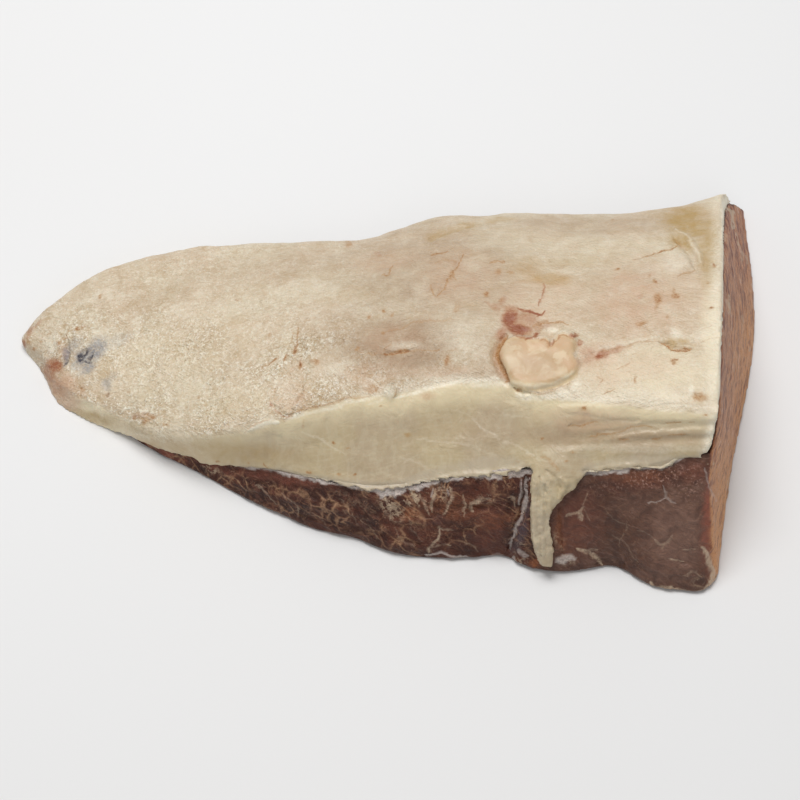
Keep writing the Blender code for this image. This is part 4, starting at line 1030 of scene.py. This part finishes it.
class MEAT_OT_fat_cap(Operator):
    """Make the fat cap: grained top, trimmed side, flap, strip and stains"""

    bl_idname = "meat.fat_cap"
    bl_label = "Fat cap"

    def execute(self, context):
        settings = context.scene.meat_fat
        item = rounded_copy("fat_cap", "fat_cap_skin", 38, settings.voxel)
        soften_border(item, "lean_meat", 0.0026)
        round_ridge(item)
        places = read_vectors(item, "co")
        hidden = nearest_on(places, "lean_meat", 0.002)[1] < 0.0008
        reach_seam(item)
        seen = in_picture(read_vectors(item, "co"))
        above = height_along(seen, SEAM) - seen[:, 1]
        over_lean = smoothstep((above - 2) / 4) * smoothstep((50 - above) / 10) * smoothstep(facing_camera(item) / 0.2)
        over_lean *= smoothstep((seen[:, 0] - 215) / 20) * smoothstep((712 - seen[:, 0]) / 10)
        close_gap(item, "lean_meat", 0.0014, 0.0004, over_lean)
        thin_out(item, hidden | (places[:, 2] < 0.0006), 4, 0.05)
        backwards = read_vectors(item, "normal")[:, 1] > 0.55
        thin_out(item, backwards, 2, 0.5)
        refine(item, [*BROWN_SPOTS, *BLACK_SPOTS, *BLOOD_SPOTS], [*BLOOD_AND_SHADE_STROKES, *BROWN_AND_SHADE_STROKES, *FAT_RELIEF, *PALE_AND_HIGHLIGHT_STROKES], 1.5)
        refine(item, [*BROWN_SPOTS, *BLACK_SPOTS], [*BLOOD_AND_SHADE_STROKES, *BROWN_AND_SHADE_STROKES], 0.6, 3.4)
        self.shape(item, settings)
        finish_piece(item, "fat_cap", fat_material(settings))
        return {"FINISHED"}

    def shape(self, item, settings):
        """Moves the surface and paints its masks."""
        places, normals = read_vectors(item, "co"), read_vectors(item, "normal")
        seen = in_picture(places)
        marks = unsettled(places, seen)
        faced = smoothstep((facing_camera(item) - 0.02) / 0.12)
        upward = smoothstep((normals[:, 2] + 0.1) / 0.3)
        below_ridge = seen[:, 1] - height_along(seen, RIDGE) + 1.6 * wobble(places, 0.004, 6.6)
        forward = smoothstep((0.5 - normals[:, 1]) / 0.2) * smoothstep((seen[:, 0] - 170) / 70)
        cut = smoothstep((normals[:, 0] - 0.6) / 0.2) * smoothstep((seen[:, 0] - 690) / 10)
        blur = 5.0 + 16.0 * smoothstep((285 - seen[:, 0]) / 60)
        trim = np.maximum(smoothstep((below_ridge + 0.4 * blur) / blur) * forward, cut)
        side = np.maximum(smoothstep((below_ridge + 12.0) / 24.0) * forward, cut)
        within = inwards(seen + 0.6 * (marks - seen), FLAP)
        flap = smoothstep((within + 0.8) / 1.6) * upward
        outer = (1 - side) * upward
        left = 1 - smoothstep((seen[:, 0] - 330) / 180)
        low_down = smoothstep((seen[:, 1] - 290) / 60)
        patches = 0.6 + 0.6 * wobble(places, 0.016, 14.2)
        grain = patches * (left * (0.25 + 0.65 * low_down) + 0.20 * low_down * (seen[:, 0] < 720))
        grain = clamp01(upward * (1 - trim) * (1 - flap) * (0.08 + grain))
        apart = nearest_on(places, "lean_meat", 0.004)[1]
        free = smoothstep((apart - 0.0006) / 0.0014) * smoothstep((places[:, 2] - 0.0005) / 0.003)

        lift = settings.swell * wobble(places, 0.030, 3.1) * outer
        lift += settings.lump * wobble(places, 0.011, 17.9) * outer
        lift += settings.lump * wobble(places, 0.0055, 11.7) * (0.35 + 0.5 * grain) * (1 - side)
        lift += 0.35 * settings.lump * wobble(places, 0.0022, 5.3) * grain
        lift += settings.lump * wobble(places, 0.016, 8.9) * side
        on_strip = smoothstep((seen[:, 1] - 474) / 8) * (seen[:, 0] > 522) * (seen[:, 0] < 584) * faced
        lift += on_strip * (0.0007 * wobble(places, 0.006, 4.1) + 0.0004 * wobble(places, 0.0028, 6.3))
        drifted = seen + 0.35 * (marks - seen)
        for points, width, depth in FAT_RELIEF:
            lift += depth * stroke(drifted, points, width) * faced
        lift += (0.0004 * smoothstep(within / 5.0) + 0.0003 * wobble(places, 0.007, 2.2)) * flap
        # Painted highlight along the ridge, with its jagged pale fringe
        ridge_fringe_highlight = np.exp(-((below_ridge + 1.0) / 3.0) ** 2) * smoothstep((seen[:, 0] - 230) / 30) * faced
        places += normals * (lift * free)[:, None]
        places[:, 2] = np.maximum(places[:, 2], 0.0)
        write_places(item, places)

        # Painted light on the fat's cut end and beside it, over its cream colour, and painted highlight along the ridge
        near_cut = smoothstep((seen[:, 0] - 706 + 0.24 * np.maximum(seen[:, 1] - 413, 0)) / 10)
        pale = painted(marks, PALE_AND_HIGHLIGHT_SPOTS, PALE_AND_HIGHLIGHT_STROKES) * (1 - 0.55 * trim * smoothstep((below_ridge - 6) / 8))
        pale = np.maximum(pale, 0.5 * ridge_fringe_highlight * clamp01(0.4 + 1.2 * wobble(places, 0.006, 2.9)))
        pale = np.maximum(pale * faced, 0.9 * np.maximum(near_cut * (0.5 + 0.5 * trim), cut))
        write_attribute(item, "trim", trim)
        # Painted highlight down the trimmed side from the ridge
        write_attribute(item, "crest_highlight", smoothstep((34 - below_ridge) / 30) * trim * faced * (1 - cut))
        write_attribute(item, "flap", flap)
        # Painted highlight on the flap's front and round its rim
        flap_front_highlight = smoothstep((seen[:, 1] - height_along(seen, FLAP_FOLD)) / 4) * flap
        write_attribute(item, "front", np.maximum(flap_front_highlight, 0.7 * smoothstep((5 - within) / 4) * flap))
        write_attribute(item, "grain", grain)
        write_attribute(item, "pale", pale)
        # Painted shade on the parts of the top that turn from the light
        write_attribute(item, "painted_shade", painted(seen, PAINTED_SHADE_SPOTS) * faced)
        # Painted light on the lit parts of the top and on the fat's cut end, which faces away from the lamps
        write_attribute(item, "painted_light", np.maximum(painted(seen, PAINTED_LIGHT_SPOTS) * faced * (1 - trim) * (1 - flap), 0.8 * cut))
        # Painted light on the steep front of the left tip, which the lamps hardly reach
        turned = smoothstep((0.8 - normals[:, 2]) / 0.5) * smoothstep((0.1 - normals[:, 1]) / 0.2)
        turned *= smoothstep((seen[:, 0] - 60) / 30) * smoothstep((260 - seen[:, 0]) / 60)
        turned *= 0.35 + 0.65 * smoothstep((150 - seen[:, 0]) / 50)
        write_attribute(item, "turned", turned)
        write_attribute(item, "yellow", painted(marks, YELLOW_SPOTS) * faced)
        write_attribute(item, "pink", painted(marks, PINK_SPOTS) * upward)
        # Blood stains, with painted shade in the crevices round the flap
        write_attribute(item, "blood_and_shade", painted(marks, BLOOD_SPOTS, BLOOD_AND_SHADE_STROKES) * faced)
        # Brown spots, with painted shade round the flap
        write_attribute(item, "brown", painted(marks, BROWN_SPOTS, BROWN_AND_SHADE_STROKES) * faced)
        write_attribute(item, "grey", painted(marks, GREY_SPOTS) * faced)
        write_attribute(item, "black", painted(marks, BLACK_SPOTS) * faced)
        # Painted shade along the border where the fat meets the lean
        write_attribute(item, "edge", smoothstep((0.0016 - apart) / 0.001) * (1 - cut))


class MEAT_OT_lean(Operator):
    """Make the lean: the marbled trimmed side, the muscle beside it and the straight cut"""

    bl_idname = "meat.lean"
    bl_label = "Lean"

    def execute(self, context):
        settings = context.scene.meat_lean
        item = rounded_copy("lean_meat", "lean_skin", 45, settings.voxel)
        soften_border(item, "fat_cap", 0.0020)
        places = read_vectors(item, "co")
        hidden = nearest_on(places, "fat_cap", 0.002)[1] < 0.0008
        close_gap(item, "fat_cap", 0.0016, 0.0004)
        thin_out(item, hidden, 4, 0.05)
        thin_out(item, read_vectors(item, "co")[:, 2] < 0.0004, 6, 0.15)
        fine = [*SILVER_STROKES, *MARBLE_STROKES, *CUT_STROKES]
        refine(item, LACE_SPOTS, fine, 1.5)
        refine(item, (), fine, 0.6)
        self.shape(item, settings)
        finish_piece(item, "lean_meat", lean_material(settings))
        return {"FINISHED"}

    def shape(self, item, settings):
        """Moves the surface and paints its masks."""
        places, normals = read_vectors(item, "co"), read_vectors(item, "normal")
        seen = in_picture(places)
        marks = unsettled(places, seen)
        faced = smoothstep((facing_camera(item) - 0.02) / 0.12)
        base = smoothstep((-normals[:, 2] - 0.75) / 0.2)
        cut = smoothstep((normals[:, 0] - 0.55) / 0.25)
        front = smoothstep((-normals[:, 1] - 0.15) / 0.3) * (1 - cut)
        apart = nearest_on(places, "fat_cap", 0.006)[1]
        free = smoothstep((apart - 0.0004) / 0.0012) * smoothstep((places[:, 2] - 0.0003) / 0.002)
        right = smoothstep((seen[:, 0] - 530) / 16) * front
        lift = settings.lump * wobble(places, 0.012, 4.4, 3) * (front * (1 - 0.45 * right) + 0.35 * cut)
        lift += 0.35 * settings.lump * wobble(places, 0.0035, 7.1) * (1 - base) * (1 - 0.5 * right)
        drifted = seen + 0.5 * (marks - seen)
        for points, width, depth in LEAN_RELIEF:
            lift += depth * stroke(drifted, points, width) * faced
        under_lip = smoothstep((height_along(seen, SEAM) - 2 - seen[:, 1]) / 5) * smoothstep((seen[:, 0] - 205) / 20)
        under_lip *= faced * (1 - cut) * smoothstep((716 - seen[:, 0]) / 8)
        under_lip *= smoothstep((seen[:, 1] - height_along(seen, SEAM) + 60) / 10)
        places += normals * (lift * free)[:, None] - camera_frame()[1] * (0.005 * under_lip)[:, None]
        places[:, 2] = np.maximum(places[:, 2], 0.0)
        write_places(item, places)

        shown = faced * (1 - base)
        band = height_along(seen, SILVER_WIDTHS) * (1 + 0.8 * wobble(places, 0.003, 8.1))
        band = smoothstep((band + height_along(seen, SEAM) - marks[:, 1]) / 1.6) * (band > 0.4) * front
        silver = np.maximum(painted(marks, (), SILVER_STROKES) * shown, band)
        write_attribute(item, "cut", cut)
        write_attribute(item, "right", right)
        calm = painted(marks, CALM_SPOTS)
        write_attribute(item, "netted", (front * (1 - 0.95 * right) * (1 - calm) + 0.5 * (1 - front)) * (1 - cut))
        write_attribute(item, "base", base)
        write_attribute(item, "silver", silver)
        across_cut = (seen[:, 0] - 726 + 0.045 * (seen[:, 1] - 200)) / 26
        low_on_cut = smoothstep((seen[:, 1] - 380) / 130)
        high_share = 0.7 * smoothstep((seen[:, 1] - 230) / 120)
        write_attribute(item, "tan", np.maximum(clamp01(across_cut) * high_share, low_on_cut) * cut)
        write_attribute(item, "marble", painted(marks, (), [*MARBLE_STROKES, *CUT_STROKES]) * shown)
        write_attribute(item, "lace", painted(marks, LACE_SPOTS) * shown)
        write_attribute(item, "bruise", painted(marks, BRUISE_SPOTS) * shown)
        write_attribute(item, "rust", painted(marks, RUST_SPOTS) * shown)
        write_attribute(item, "red", painted(seen + 1.6 * (marks - seen), RED_SPOTS) * shown)
        write_attribute(item, "dim", painted(seen, DIM_SPOTS) * shown)
        write_attribute(item, "dots", painted(seen, DOT_SPOTS) * shown)
        # Pale veil of membrane and painted sheen on the smoother muscle
        write_attribute(item, "haze_and_sheen", painted(seen, HAZE_AND_SHEEN_SPOTS) * shown)


class MEAT_OT_stage(Operator):
    """Make the pale floor, the soft lights and the camera"""

    bl_idname = "meat.stage"
    bl_label = "Stage"

    def execute(self, context):
        settings = context.scene.meat_stage
        deselect_all()
        bpy.ops.mesh.primitive_plane_add(size=6.0, location=(0.0, 0.0, 0.0))
        floor = context.object
        floor.name = "floor"
        finish = Finish("pale_floor")
        shade = settings.floor_shade
        tint = finish.grain(0.4, 1.0).step(0.3, 0.7)
        colour = finish.mix(tint, (shade, shade, shade, 1.0), (shade * 0.985, shade * 0.98, shade * 0.975, 1.0))
        finish.finish_with(colour, 0.8, [(tint, 0.0001)])
        floor.data.materials.append(finish.material)
        self.add_light("key", (-0.20, 0.30, 1.34), 0.7, settings.key_power)
        self.add_light("fill", (0.5, -1.3, 0.9), 1.0, settings.fill_power)
        self.add_sky(settings.sky)
        self.add_camera(context)
        context.scene.view_settings.view_transform = "Standard"
        return {"FINISHED"}

    def add_light(self, name, place, size, power):
        aim = Vector((0.0, 0.0, 0.02))
        bpy.ops.object.light_add(type="AREA", location=place)
        light = bpy.context.object
        light.name = name
        light.data.size = size
        light.data.energy = power
        light.rotation_euler = (aim - Vector(place)).to_track_quat("-Z", "Y").to_euler()

    def add_sky(self, strength):
        world = bpy.data.worlds.new("even_light")
        world.use_nodes = True
        background = world.node_tree.nodes["Background"]
        background.inputs["Color"].default_value = (1.0, 1.0, 1.0, 1.0)
        background.inputs["Strength"].default_value = strength
        bpy.context.scene.world = world

    def add_camera(self, context):
        eye = Vector(camera_frame()[0])
        bpy.ops.object.camera_add(location=eye)
        camera = context.object
        camera.name = "front_camera"
        camera.data.lens = CAMERA_LENS
        camera.data.sensor_width = CAMERA_SENSOR
        camera.rotation_euler = (Vector(AIM) - eye).to_track_quat("-Z", "Y").to_euler()
        context.scene.camera = camera


class MEAT_PT_picanha(Panel):
    """The pieces of the picanha and their settings"""

    bl_label = "Picanha"
    bl_space_type = "VIEW_3D"
    bl_region_type = "UI"
    bl_category = "Meat"

    def draw(self, context):
        for operator, group in (("meat.fat_cap", "meat_fat"), ("meat.lean", "meat_lean"), ("meat.stage", "meat_stage")):
            box = self.layout.box()
            box.operator(operator)
            settings = getattr(context.scene, group)
            for name in type(settings).__annotations__:
                box.prop(settings, name)


CLASSES = (
    FatSettings, LeanSettings, StageSettings,
    MEAT_OT_fat_cap, MEAT_OT_lean, MEAT_OT_stage, MEAT_PT_picanha,
)


def register():
    for item in CLASSES:
        bpy.utils.register_class(item)
    bpy.types.Scene.meat_fat = PointerProperty(type=FatSettings)
    bpy.types.Scene.meat_lean = PointerProperty(type=LeanSettings)
    bpy.types.Scene.meat_stage = PointerProperty(type=StageSettings)


def unregister():
    for name in ("meat_fat", "meat_lean", "meat_stage"):
        delattr(bpy.types.Scene, name)
    for item in reversed(CLASSES):
        bpy.utils.unregister_class(item)


def main():
    register()
    bpy.ops.meat.fat_cap()
    bpy.ops.meat.lean()
    bpy.ops.meat.stage()


if __name__ == "__main__":
    main()
